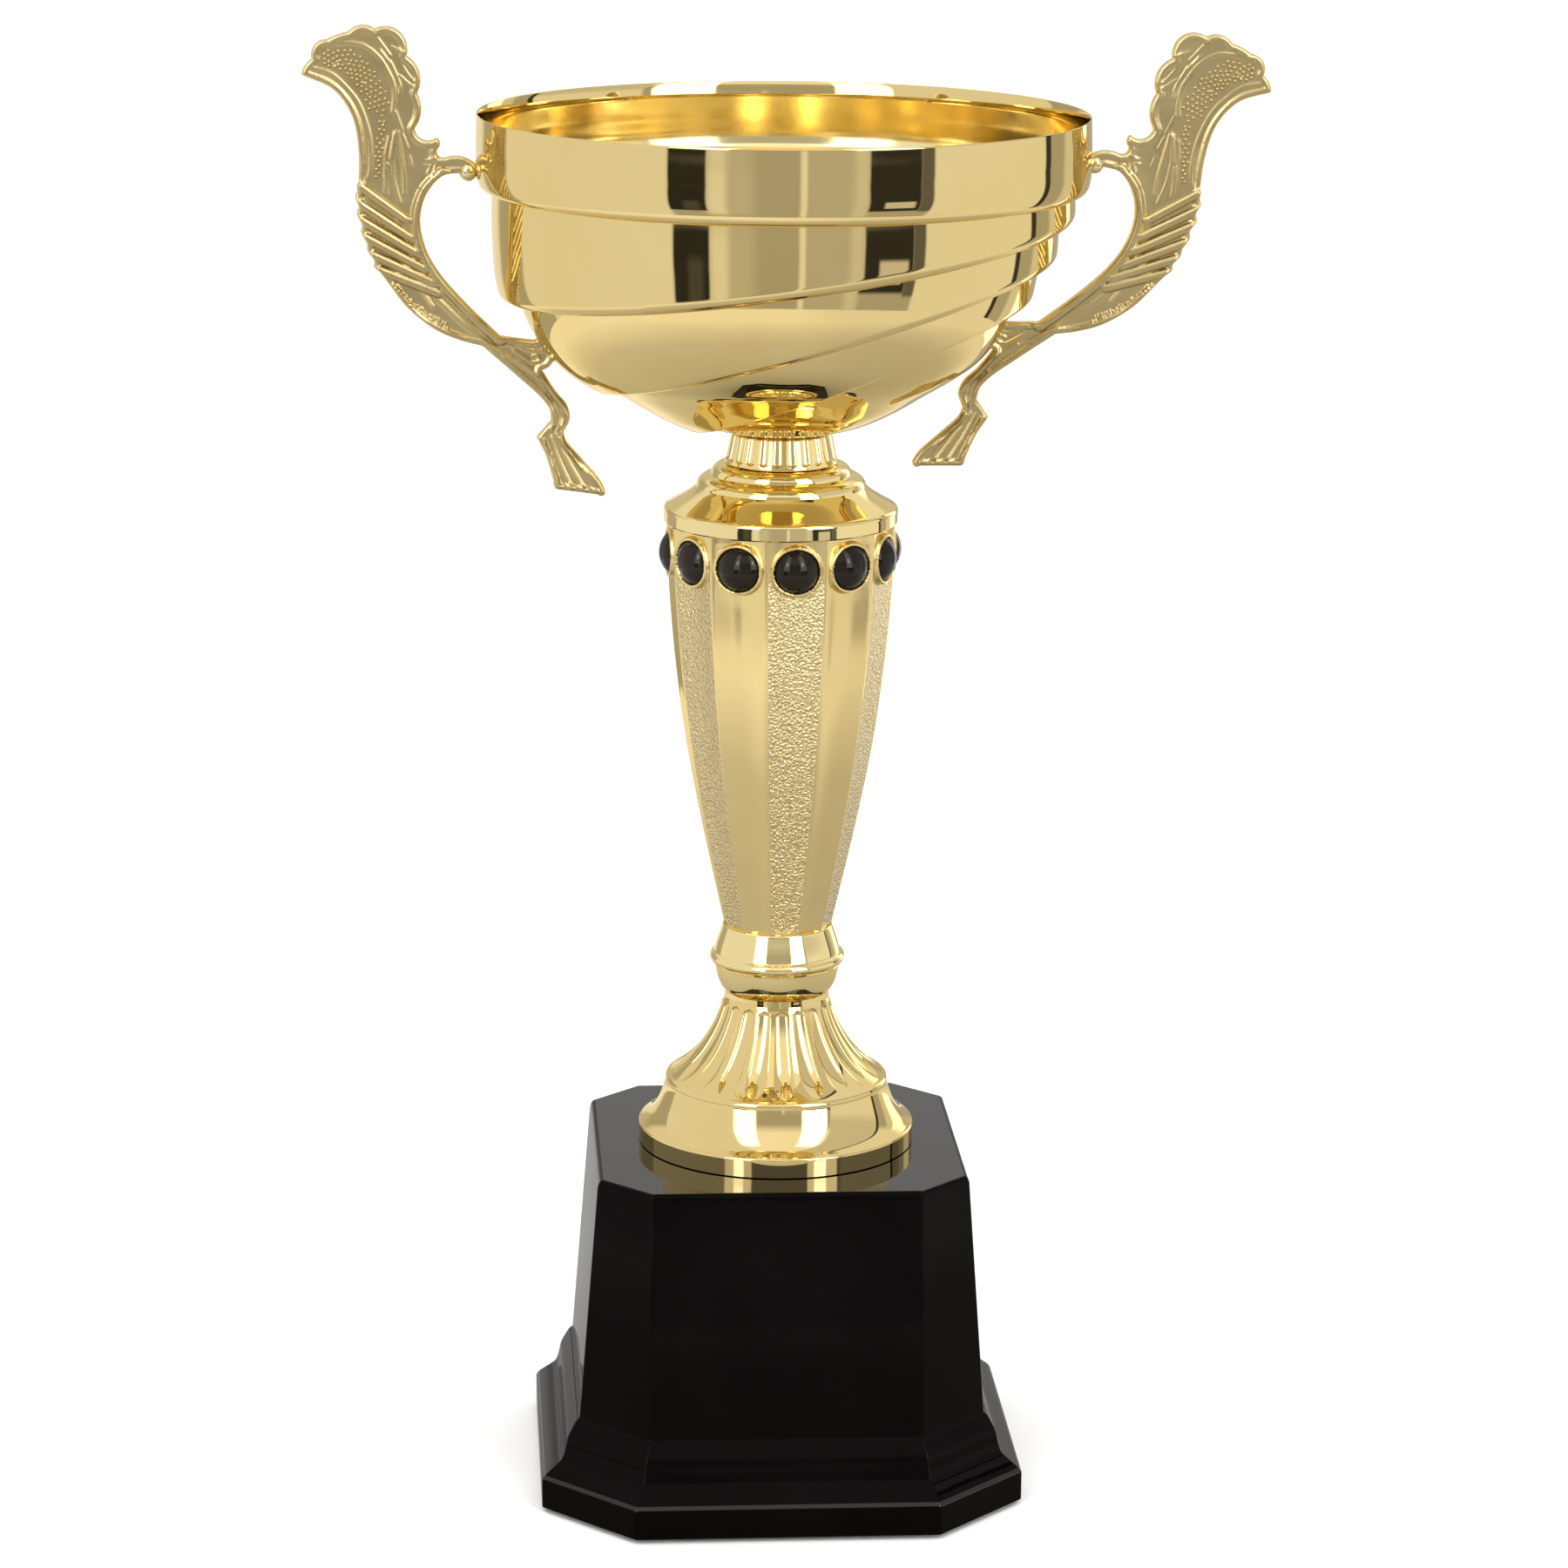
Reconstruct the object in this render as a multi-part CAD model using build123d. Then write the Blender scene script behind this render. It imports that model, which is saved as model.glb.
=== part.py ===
from build123d import *
import math
import os

# Cup trophy, millimetres, +Z up.
# Origin: centre of the underside of the base, on the trophy's axis.
# The base's front face looks towards -Y and the two handles lie along X.

# ---------------------------------------------------------------- driving dimensions
BASE_WIDTH = 113.4           # across the flats of the base's lowest band
BASE_CHAMFER = 21.2          # leg of the cut corner at that band
BASE_HEIGHT = 80.0
BASE_WALL = 3.0
BODY_TOP_WIDTH = 87.0        # tapered body, just under its top edge
BODY_TOP_CHAMFER = 12.0
TOP_FACE_WIDTH = 84.4        # flat top of the base, inside its rounded edge
TOP_FACE_CHAMFER = 11.0
WEIGHT_TOP_WIDTH = 83.4
WEIGHT_TOP = 46.0
BOSS_HEIGHT = 2.0            # thickening under the base's top where the nut bears
FELT_THICKNESS = 1.0
COVER_THICKNESS = 2.0

ROD_RADIUS = 3.0             # M6 tie rod
ROD_HOLE_RADIUS = 3.4
NUT_BORE_RADIUS = 3.05
NUT_ACROSS_FLATS = 10.0
NUT_HEIGHT = 5.0
WASHER_RADIUS = 9.0
WASHER_HEIGHT = 1.2

FOOT_TOP = 117.0
KNOP_TOP = 133.2
COLUMN_TOP = 229.9
SHOULDER_TOP = 243.5
NECK_TOP = 250.7
BOWL_SEAT = 251.2            # underside of the bowl, on its fibre washer
RIM_HEIGHT = 324.2
RIM_RADIUS = 70.1

PANELS = 12                  # sides of the column, and cabochons round its head
PANEL_PITCH = 360 / PANELS
FIRST_PANEL = -90 + 4.5      # direction of the panel that faces nearly forward, degrees
GEM_RADIUS = 4.9
GEM_DOME = 3.3
GEM_HEIGHT = 222.9
BEZEL_RADIUS = 6.0
BEZEL_RISE = 0.9             # how far a bezel stands out of its panel
POCKET_DEPTH = 0.5           # how far a gem is let into its panel

FOOT_FLUTES = 20
NECK_FLUTES = 24

BOWL_WALL = 1.0
BAND_EDGE = 3.0              # radius that rolls each band into the ledge under it

HANDLE_THICKNESS = 3.6
RAIL_THICKNESS = 4.8         # the rail along the inner curve stands out of both faces
RIB_RADIUS = 1.5             # round ribs half sunk into both faces
RIB_SINK = 0.9               # distance of a rib's centre line from the middle plane
FAN_RADIUS = 1.1             # ridges of the fan-shaped foot
FAN_SINK = 1.1
BOSS_RADIUS = 2.3            # ball where the upper peg leaves the casting
PEG_RADIUS = 1.3
PEG_HOLE_RADIUS = 1.45
HANDLE_GAP = 0.08            # running gap between a handle's ends and the bowl

os.makedirs("parts", exist_ok=True)


# ---------------------------------------------------------------- shared helpers
def save(node, shape):
    """Write one named piece to its own STEP file."""
    shape.label = node
    export_step(shape, f"parts/{node}.step")


def turned(points, smooth=False):
    """Solid of revolution about Z under an (r, z) profile listed from bottom to top."""
    low = points[0][1]
    high = points[-1][1]
    outline = [Vector(r, 0, z) for r, z in points]
    if smooth:
        side = Spline(*outline)
    else:
        side = Polyline(*outline)
    close = Polyline(outline[-1], Vector(0, 0, high), Vector(0, 0, low), outline[0])
    return revolve(make_face([side, close]), Axis.Z)


def turned_pieces(*pieces):
    """Solid of revolution whose side is several curves, listed from bottom to top."""
    start = pieces[0] @ 0
    end = pieces[-1] @ 1
    close = Polyline(end, Vector(0, 0, end.Z), Vector(0, 0, start.Z), start)
    return revolve(make_face([*pieces, close]), Axis.Z)


def rz(*points):
    """Points of a profile, given as (r, z), in the XZ plane."""
    return [Vector(r, 0, z) for r, z in points]


def bore(radius, low, high):
    """Round cutter on the trophy's axis."""
    return Pos(0, 0, (low + high) / 2) * Cylinder(radius, high - low)


def octagon(width, chamfer, z):
    """Corners of a square of the given width with its corners cut off, at height z."""
    half = width / 2
    inner = half - chamfer
    corners = []
    for turn in range(4):
        angle = math.radians(90 * turn)
        for x, y in ((half, -inner), (half, inner)):
            corner_x = x * math.cos(angle) - y * math.sin(angle)
            corner_y = x * math.sin(angle) + y * math.cos(angle)
            corners.append(Vector(corner_x, corner_y, z))
    return corners


def band_octagon(half_width, z):
    """Octagon whose eight sides are all offset equally from the lowest band's."""
    inset = BASE_WIDTH / 2 - half_width
    corner_factor = 2 - math.sqrt(2)
    return octagon(2 * half_width, BASE_CHAMFER - corner_factor * inset, z)


def polygon_face(corners):
    return make_face(Polyline(*corners, close=True)).face()


def stack(sections):
    """Solid with flat sides between each octagon and the next."""
    faces = [polygon_face(sections[0]), polygon_face(sections[-1])]
    for low, high in zip(sections, sections[1:]):
        for i in range(len(low)):
            following = (i + 1) % len(low)
            faces.append(polygon_face([low[i], low[following], high[following], high[i]]))
    return Solid(Shell(faces))


# ---------------------------------------------------------------- base
BODY_FOOT = (47.8, 21.4)     # half width and height where the tapered body starts
BODY_SHOULDER_Z = 78.2


def base_shell():
    moulding = [
        (56.7, 0.5), (56.7, 7.6), (56.0, 8.4), (53.4, 10.6), (51.8, 12.2),
        (51.1, 14.2), (50.3, 17.6), (49.8, 19.4), (48.6, 20.8), BODY_FOOT,
    ]
    sections = [band_octagon(half, z) for half, z in moulding]
    sections.append(octagon(BODY_TOP_WIDTH, BODY_TOP_CHAMFER, BODY_SHOULDER_Z))
    sections.append(octagon(TOP_FACE_WIDTH, TOP_FACE_CHAMFER, BASE_HEIGHT))
    outside = stack(sections)
    top_web = BASE_HEIGHT - BASE_WALL
    cavity = stack([
        band_octagon(52.8, 0),
        band_octagon(52.8, 3.2),
        band_octagon(46.0, 9.0),
        octagon(2 * (BODY_FOOT[0] - BASE_WALL), 14.4, BODY_FOOT[1]),
        octagon(BODY_TOP_WIDTH - 2 * BASE_WALL, 10.4, top_web),
    ])
    boss = bore(WASHER_RADIUS + 3, top_web - BOSS_HEIGHT, top_web)
    hole = bore(ROD_HOLE_RADIUS, top_web - 4, BASE_HEIGHT + 1)
    return outside - cavity + boss - hole


def base_weight():
    """Cast ballast block, clear of the shell's walls, with a hole for the nut's wrench."""
    clearance = 1.0
    block = stack([
        band_octagon(BODY_FOOT[0] - BASE_WALL - clearance, 10.5),
        octagon(2 * (BODY_FOOT[0] - BASE_WALL - clearance), 14.4, BODY_FOOT[1]),
        octagon(WEIGHT_TOP_WIDTH, 13.0, WEIGHT_TOP),
    ])
    wrench_access = bore(13.0, 0, BASE_HEIGHT)
    return block - wrench_access


def base_cover():
    return stack([
        band_octagon(52.3, FELT_THICKNESS),
        band_octagon(52.3, FELT_THICKNESS + COVER_THICKNESS),
    ])


def base_felt():
    return stack([band_octagon(51.5, 0), band_octagon(51.5, FELT_THICKNESS)])


# ---------------------------------------------------------------- tie rod and its hardware
BASE_NUT_TOP = BASE_HEIGHT - BASE_WALL - BOSS_HEIGHT - WASHER_HEIGHT
BOWL_FLOOR = BOWL_SEAT + BOWL_WALL


def tie_rod():
    low_thread = 3.0
    high_thread = 2.0
    low = BASE_NUT_TOP - NUT_HEIGHT - low_thread
    high = BOWL_FLOOR + WASHER_HEIGHT + NUT_HEIGHT + high_thread
    rod = bore(ROD_RADIUS, low, high)
    return chamfer(rod.edges().filter_by(GeomType.CIRCLE), 0.5)


def washer(low):
    disc = bore(WASHER_RADIUS, low, low + WASHER_HEIGHT)
    return disc - bore(ROD_HOLE_RADIUS, low - 1, low + WASHER_HEIGHT + 1)


def hex_nut(low):
    across_corners = NUT_ACROSS_FLATS / math.cos(math.pi / 6)
    blank = extrude(Pos(0, 0, low) * RegularPolygon(across_corners / 2, 6), NUT_HEIGHT)
    rounding = turned([
        (across_corners / 2 - 0.8, low),
        (across_corners / 2, low + 0.6),
        (across_corners / 2, low + NUT_HEIGHT - 0.6),
        (across_corners / 2 - 0.8, low + NUT_HEIGHT),
    ])
    return (blank & rounding) - bore(NUT_BORE_RADIUS, low - 1, low + NUT_HEIGHT + 1)


# ---------------------------------------------------------------- foot, knop
FLANGE_RADIUS = 32.7
BELL_ARC_CENTRE = (42.8, 121.7)    # the fluted bell is hollow-curved about this ring
BELL_ARC_RADIUS = 30.8


def foot():
    flange_edge = Polyline(*rz((FLANGE_RADIUS, BASE_HEIGHT), (FLANGE_RADIUS, 84.2), (32.3, 84.8)))
    flange_bell = Spline(*rz((32.3, 84.8), (30.0, 86.6), (27.8, 90.3), (26.4, 94.6)))
    lip = Polyline(*rz((26.4, 94.6), (26.4, 95.7), (25.4, 96.4)))
    fluted_bell = ThreePointArc(*rz((25.4, 96.4), (17.6, 104.0), (12.9, 114.0)))
    throat = Polyline(*rz((12.9, 114.0), (12.3, 116.0), (12.3, FOOT_TOP)))
    outside = turned_pieces(flange_edge, flange_bell, lip, fluted_bell, throat)
    flutes = bell_flutes()
    cavity = turned([
        (29.5, BASE_HEIGHT), (27.5, 86.0), (24.5, 90.5), (23.0, 93.5),
        (16.2, 101.5), (11.8, 109.0), (10.4, 113.5), (9.0, 113.5),
    ])
    hole = bore(ROD_HOLE_RADIUS, BASE_HEIGHT, FOOT_TOP + 1)
    return outside - flutes - cavity - hole


def bell_flutes():
    """Shallow channels down the hollow-curved bell, one torus cutter each."""
    cutter_radius = 3.0
    depth = 0.75                 # how far a channel is cut below the bell's surface
    centre_x, centre_z = BELL_ARC_CENTRE
    pivot = Pos(centre_x, 0, centre_z)
    reach = BELL_ARC_RADIUS - cutter_radius + depth
    ring = pivot * Rot(90, 0, 0) * Torus(reach, cutter_radius)
    window = turned([(10, 97.2), (40, 97.2), (40, 113.4), (10, 113.4)]) - bore(10.0, 90, 120)
    near_side = Pos(20, 0, 105) * Box(30, 8, 30)
    channel = ring & window & near_side
    return [Rot(0, 0, 360 / FOOT_FLUTES * i) * channel for i in range(FOOT_FLUTES)]


def knop():
    cup = Spline(*rz((12.3, FOOT_TOP), (13.4, 119.4), (14.4, 121.8), (14.9, 123.3)))
    bead = ThreePointArc(*rz((14.9, 123.3), (16.0, 125.1), (15.0, 126.9)))
    collar = Spline(*rz((15.0, 126.9), (14.3, 128.2), (13.9, 130.2), (13.4, 132.0)))
    lip = Line(*rz((13.4, 132.0), (12.9, KNOP_TOP)))
    outside = turned_pieces(cup, bead, collar, lip)
    return outside - bore(ROD_HOLE_RADIUS, FOOT_TOP - 1, KNOP_TOP + 1)


# ---------------------------------------------------------------- column and gems
# Height and corner radius of the twelve-sided column.
COLUMN_CORNERS = [
    (KNOP_TOP, 12.8), (145.0, 15.5), (160.0, 18.8), (175.0, 21.7), (190.0, 23.9),
    (205.0, 25.5), (218.0, 26.4), (COLUMN_TOP, 26.8),
]
COLUMN_WALL = 2.6


def panel_direction(index):
    return FIRST_PANEL + PANEL_PITCH * index


def column_section(z, corner_radius):
    polygon = RegularPolygon(corner_radius, PANELS, rotation=FIRST_PANEL + PANEL_PITCH / 2)
    return Pos(0, 0, z) * polygon


def panel_apothem(z):
    """Distance from the axis to the middle of a panel, at height z."""
    for (low, low_radius), (high, high_radius) in zip(COLUMN_CORNERS, COLUMN_CORNERS[1:]):
        if low <= z <= high:
            blend = (z - low) / (high - low)
            radius = low_radius + blend * (high_radius - low_radius)
    return radius * math.cos(math.radians(PANEL_PITCH / 2))


GEM_SEAT = panel_apothem(GEM_HEIGHT)


def radial(index):
    """Frame at a gem's seat: Z points straight out of the panel."""
    return Rot(0, 0, panel_direction(index)) * Pos(GEM_SEAT, 0, GEM_HEIGHT) * Rot(0, 90, 0)


def column():
    outside = loft([column_section(z, radius) for z, radius in COLUMN_CORNERS])
    for index in range(PANELS):
        ring = Pos(0, 0, BEZEL_RISE / 2 - 1) * Cylinder(BEZEL_RADIUS, BEZEL_RISE + 2)
        outside = outside + radial(index) * ring
    outside = outside & bore(30, KNOP_TOP, COLUMN_TOP)
    inner = [(panel_apothem(z) - COLUMN_WALL, z) for z, _ in COLUMN_CORNERS[1:-1]]
    low_web = KNOP_TOP + 3
    high_web = COLUMN_TOP - 3
    cavity = turned([(9.4, low_web), *inner, (inner[-1][0], high_web)])
    hole = bore(ROD_HOLE_RADIUS, KNOP_TOP - 1, COLUMN_TOP + 1)
    pockets = []
    for index in range(PANELS):
        pocket = Pos(0, 0, 3 - POCKET_DEPTH) * Cylinder(GEM_RADIUS + 0.05, 6)
        pockets.append(radial(index) * pocket)
    return outside - cavity - hole - pockets


def gem(index):
    """Flat-backed polished cabochon: a disc whose top is part of a sphere."""
    girdle = 1.0
    rise = GEM_DOME - girdle
    dome_radius = (GEM_RADIUS ** 2 + rise ** 2) / (2 * rise)
    disc = Pos(0, 0, GEM_DOME / 2) * Cylinder(GEM_RADIUS, GEM_DOME)
    dome = Pos(0, 0, GEM_DOME - dome_radius) * Sphere(dome_radius)
    return radial(index) * Pos(0, 0, -POCKET_DEPTH) * (disc & dome)


# ---------------------------------------------------------------- shoulder and neck
def shoulder():
    ring = Polyline(*rz((26.9, COLUMN_TOP), (27.2, 230.4), (27.2, 232.8)))
    rim = ThreePointArc(*rz((27.2, 232.8), (27.0, 233.5), (26.4, 234.0)))
    slope = Spline(*rz((26.4, 234.0), (23.0, 236.0), (19.7, 238.2)))
    first_roll = ThreePointArc(*rz((19.7, 238.2), (19.0, 239.9), (17.2, 240.9)))
    second_roll = ThreePointArc(*rz((17.2, 240.9), (15.9, 242.6), (13.6, SHOULDER_TOP)))
    outside = turned_pieces(ring, rim, slope, first_roll, second_roll)
    cavity = turned([
        (24.6, COLUMN_TOP), (24.6, 232.4), (17.5, 236.6), (14.5, 239.5), (9.0, 239.5),
    ])
    hole = bore(ROD_HOLE_RADIUS, COLUMN_TOP, SHOULDER_TOP + 1)
    return outside - cavity - hole


def neck():
    low_radius = 13.0
    high_radius = 12.1
    body = turned([
        (low_radius, SHOULDER_TOP), (low_radius, 244.0), (high_radius, 250.0),
        (high_radius - 0.4, NECK_TOP),
    ])
    flute_radius = 1.1
    standoff = 0.5               # the cutters' centres lie this far outside the surface
    flute_height = NECK_TOP - SHOULDER_TOP - 1.2
    lean = math.degrees(math.atan2(low_radius - high_radius, flute_height))
    middle = (low_radius + high_radius) / 2
    centre_height = SHOULDER_TOP + 0.9 + flute_height / 2
    flute = Pos(middle + standoff, 0, centre_height) * Rot(0, -lean, 0)
    flute = flute * Cylinder(flute_radius, flute_height)
    pitch = 360 / NECK_FLUTES
    flutes = [Rot(0, 0, pitch * i) * flute for i in range(NECK_FLUTES)]
    return body - flutes - bore(ROD_HOLE_RADIUS, SHOULDER_TOP - 1, NECK_TOP + 1)


def bowl_seat_washer():
    disc = bore(10.8, NECK_TOP, BOWL_SEAT)
    return disc - bore(ROD_HOLE_RADIUS, NECK_TOP - 1, BOWL_SEAT + 1)


# ---------------------------------------------------------------- bowl
# The bowl is a nest of turned bands. Each band ends on a plane and rolls into a
# ledge there, and the next band starts inside it. The planes fan out from the right.
# A plane is (height on the axis, rise along X, rise along Y).
RIM_BAND = [(66.0, 300.0), (69.9, 309.0), (70.3, 316.0), (RIM_RADIUS, RIM_HEIGHT)]
FIRST_BAND = [(61.5, 272.0), (64.3, 280.0), (65.9, 286.0), (66.6, 294.0), (66.8, 302.0), (66.4, 312.0)]
SECOND_BAND = [
    (15.0, 253.6), (30.0, 256.3), (43.0, 261.3), (49.6, 265.2), (54.4, 270.0),
    (58.3, 276.0), (61.0, 283.0), (62.4, 289.5), (63.0, 296.0), (62.9, 306.0),
]
THIRD_BAND = [
    (10.0, 249.6), (20.0, 251.4), (28.0, 254.6), (34.5, 258.3), (41.2, 262.5),
    (47.4, 266.6), (52.6, 272.5), (56.3, 280.0), (58.2, 287.0), (58.9, 296.0),
]
FOURTH_BAND = [
    (10.0, 250.6), (20.0, 253.3), (27.2, 256.7), (33.8, 260.7), (40.8, 265.0),
    (46.2, 269.2), (49.9, 274.0), (52.4, 279.5), (53.8, 286.0),
]
BANDS = [
    (RIM_BAND, (307.0, 0.0, 0.0)),
    (FIRST_BAND, (290.9, 0.144, 0.0)),
    (SECOND_BAND, (273.4, 0.285, -0.048)),
    (THIRD_BAND, (259.2, 0.395, -0.087)),
    (FOURTH_BAND, None),
]


def moved_profile(points, offset):
    """Profile moved along its own outward normal."""
    moved = []
    for index, (r, z) in enumerate(points):
        before = points[max(index - 1, 0)]
        after = points[min(index + 1, len(points) - 1)]
        along_r = after[0] - before[0]
        along_z = after[1] - before[1]
        length = math.hypot(along_r, along_z)
        moved.append((r + offset * along_z / length, z - offset * along_r / length))
    return moved


def ledge_plane(plane, offset):
    height, rise_x, rise_y = plane
    normal = Vector(-rise_x, -rise_y, 1)
    origin = Vector(0, 0, height) - normal.normalized() * offset
    return Plane(origin=origin, z_dir=normal)


def bowl_band(points, plane, offset):
    """One band as a full solid, rolled over at its lower edge."""
    profile = moved_profile(points, offset)
    solid = turned(profile, smooth=True)
    if plane is None:
        return solid
    cut = ledge_plane(plane, offset)
    solid = split(solid, bisect_by=cut, keep=Keep.TOP)
    low_face = solid.faces().filter_by(GeomType.PLANE).sort_by(Axis.Z)[0]
    return fillet(low_face.outer_wire().edges(), BAND_EDGE + offset)


def bowl_solid(offset, seat):
    """The whole nest of bands, grown by offset and cut off flat at the seat."""
    bands = [bowl_band(points, plane, offset) for points, plane in BANDS]
    nest = bands[0].fuse(*bands[1:])
    return split(nest, bisect_by=Plane.XY.offset(seat), keep=Keep.TOP)


def bowl(outer, pegs):
    """Thin shell whose mouth flares to a fine edge, drilled for the rod and the pegs."""
    inner = bowl_solid(-BOWL_WALL, BOWL_FLOOR)
    mouth = turned([(RIM_RADIUS - 1.6, 318.0), (RIM_RADIUS - 0.45, RIM_HEIGHT + 1)])
    shell = outer - inner - mouth
    shell = shell - bore(ROD_HOLE_RADIUS, BOWL_SEAT - 1, BOWL_FLOOR + 2)
    return shell - pegs


# ---------------------------------------------------------------- handles
# One casting serves both sides. Its own frame: X points away from the bowl, Z is up,
# and the origin is where the upper peg meets the outside of the rim band.
LEFT_ORIGIN = (-69.9, 311.4)
RIGHT_ORIGIN = (69.6, 313.4)
RIGHT_TURN = 7.9             # the bowl is slimmer on the right, so that handle leans in
UPPER_PEG = ((1.5, 0.0), (-4.6, 0.0))
LOWER_PEG = ((-11.5, -44.0), (-18.9, -39.2))

LOBES = [
    ((39.5, 21.4), (38.7, 23.4), (37.1, 24.9)),
    ((37.1, 24.9), (36.5, 28.0), (33.6, 29.3)),
    ((33.6, 29.3), (31.3, 30.4), (28.9, 31.0)),
    ((28.9, 31.0), (26.3, 32.5), (22.9, 31.7)),
    ((22.9, 31.7), (18.0, 31.6), (15.7, 25.6)),
    ((15.7, 25.6), (12.8, 21.9), (13.4, 17.3)),
    ((13.4, 17.3), (12.5, 13.6), (14.0, 9.3)),
    ((14.0, 9.3), (12.2, 6.7), (9.2, 7.2)),
    ((9.2, 7.2), (8.4, 6.3), (8.9, 4.6)),
    ((8.9, 4.6), (8.7, 3.0), (7.4, 2.6)),
    ((7.4, 2.6), (4.4, 3.0), (1.2, 1.9)),
    ((1.2, 1.9), (-0.1, -0.4), (1.4, -2.6)),
    ((1.4, -2.6), (2.9, -2.3), (3.8, -0.8)),
]
INNER_EDGE = [
    (3.8, -0.8), (7.6, -1.4), (11.2, -5.2), (12.9, -11.1), (11.8, -17.8),
    (8.8, -23.5), (2.3, -31.0), (-5.1, -38.2),
]
TAB_TOP = ((-5.1, -38.2), (-12.5, -39.2))
TAB_END = ((-12.5, -39.2), (-17.6, -42.0), (-14.6, -46.0))
LEG_INSIDE = [(-14.6, -46.0), (-17.6, -50.8), (-20.4, -54.3), (-21.1, -57.2), (-19.6, -60.3)]
FOOT_INSIDE = [(-19.6, -60.3), (-20.2, -62.4), (-24.2, -67.3), (-28.2, -72.1), (-29.2, -74.2)]
FOOT_TOE = ((-29.2, -74.2), (-28.8, -75.3), (-27.4, -75.1))
FOOT_SOLE = ((-27.4, -75.1), (-18.6, -73.9))
FOOT_HEEL = ((-18.6, -73.9), (-17.5, -73.5), (-17.2, -72.2))
FOOT_OUTSIDE = [(-17.2, -72.2), (-15.6, -66.5), (-13.3, -61.6)]
HOCK = ((-13.3, -61.6), (-16.6, -57.9))
LEG_OUTSIDE = [(-16.6, -57.9), (-16.3, -55.3), (-14.5, -52.6), (-9.0, -47.5), (-0.9, -40.4)]
BELLY = [(-0.9, -40.4), (3.5, -39.3), (9.5, -36.8), (16.0, -31.7), (20.4, -26.0), (22.3, -23.4)]
FLANK = [(22.3, -23.4), (25.2, -18.0), (27.2, -12.0), (27.5, -7.0), (26.9, -2.9)]
OUTER_EDGE = [(26.9, -2.9), (26.8, 4.1), (28.2, 12.1), (32.4, 18.1), (39.5, 21.4)]
RIB_ENDS = [
    ((27.0, -3.6), (15.9, -11.4)), ((27.2, -7.2), (15.0, -15.2)), ((26.6, -11.4), (13.8, -19.0)),
    ((25.8, -15.2), (11.8, -22.8)), ((24.2, -19.2), (9.4, -26.4)), ((22.0, -22.6), (6.6, -29.6)),
]
RAIL_BACK = [
    (-6.2, -41.6), (3.9, -33.0), (10.8, -25.0), (14.0, -18.4), (15.2, -11.1),
    (13.0, -4.0), (9.0, 0.6), (3.8, -0.8),
]
BOSS_CENTRE = (2.0, -0.4)
FAN_TOP = (-17.6, -62.0)
FAN_TOES = [(-18.8, -72.2), (-21.6, -72.8), (-24.4, -73.3), (-27.2, -73.6)]


def at(point, y=0.0):
    return Vector(point[0], y, point[1])


def casting_outline():
    edges = [ThreePointArc(*[at(point) for point in lobe]) for lobe in LOBES]
    edges.append(Spline(*[at(point) for point in INNER_EDGE]))
    edges.append(Line(*[at(point) for point in TAB_TOP]))
    edges.append(ThreePointArc(*[at(point) for point in TAB_END]))
    edges.append(Spline(*[at(point) for point in LEG_INSIDE]))
    edges.append(Spline(*[at(point) for point in FOOT_INSIDE]))
    edges.append(ThreePointArc(*[at(point) for point in FOOT_TOE]))
    edges.append(Line(*[at(point) for point in FOOT_SOLE]))
    edges.append(ThreePointArc(*[at(point) for point in FOOT_HEEL]))
    edges.append(Spline(*[at(point) for point in FOOT_OUTSIDE]))
    edges.append(Line(*[at(point) for point in HOCK]))
    for stretch in (LEG_OUTSIDE, BELLY, FLANK, OUTER_EDGE):
        edges.append(Spline(*[at(point) for point in stretch]))
    return make_face(edges)


def thick(face, thickness):
    """Plate centred on the casting's middle plane."""
    return extrude(face, thickness / 2, dir=(0, 1, 0), both=True)


def bar(start, end, radius, y):
    """Round bar with round ends, lying in a plane of the casting."""
    low = at(start, y)
    high = at(end, y)
    along = high - low
    rod = Plane(origin=low, z_dir=along) * Pos(0, 0, along.length / 2)
    rod = rod * Cylinder(radius, along.length)
    return rod + Pos(low) * Sphere(radius) + Pos(high) * Sphere(radius)


def peg(ends, radius):
    """Round pin between two points of the casting's middle plane."""
    root = at(ends[0])
    along = at(ends[1]) - root
    return Plane(origin=root, z_dir=along) * Pos(0, 0, along.length / 2) * Cylinder(radius, along.length)


def casting():
    """The handle before it is trimmed to the bowl, without its pegs."""
    body = thick(casting_outline(), HANDLE_THICKNESS)
    rail_edges = [Spline(*[at(point) for point in INNER_EDGE])]
    rail_edges.append(Line(at(INNER_EDGE[-1]), at(RAIL_BACK[0])))
    rail_edges.append(Spline(*[at(point) for point in RAIL_BACK]))
    rail = thick(make_face(rail_edges), RAIL_THICKNESS)
    details = []
    for side in (-1, 1):
        for start, end in RIB_ENDS:
            details.append(bar(start, end, RIB_RADIUS, side * RIB_SINK))
        for toe in FAN_TOES:
            details.append(bar(FAN_TOP, toe, FAN_RADIUS, side * FAN_SINK))
    boss = Pos(at(BOSS_CENTRE)) * Sphere(BOSS_RADIUS)
    return body.fuse(rail, boss, *details)


def on_left(shape):
    """The left handle is the casting turned half round the trophy's axis."""
    x, z = LEFT_ORIGIN
    return Pos(x, 0, z) * Rot(0, 0, 180) * shape


def on_right(shape):
    x, z = RIGHT_ORIGIN
    return Pos(x, 0, z) * Rot(0, RIGHT_TURN, 0) * shape


def peg_holes():
    pegs = [peg(ends, PEG_HOLE_RADIUS) for ends in (UPPER_PEG, LOWER_PEG)]
    return [place(cutter) for place in (on_left, on_right) for cutter in pegs]


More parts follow.
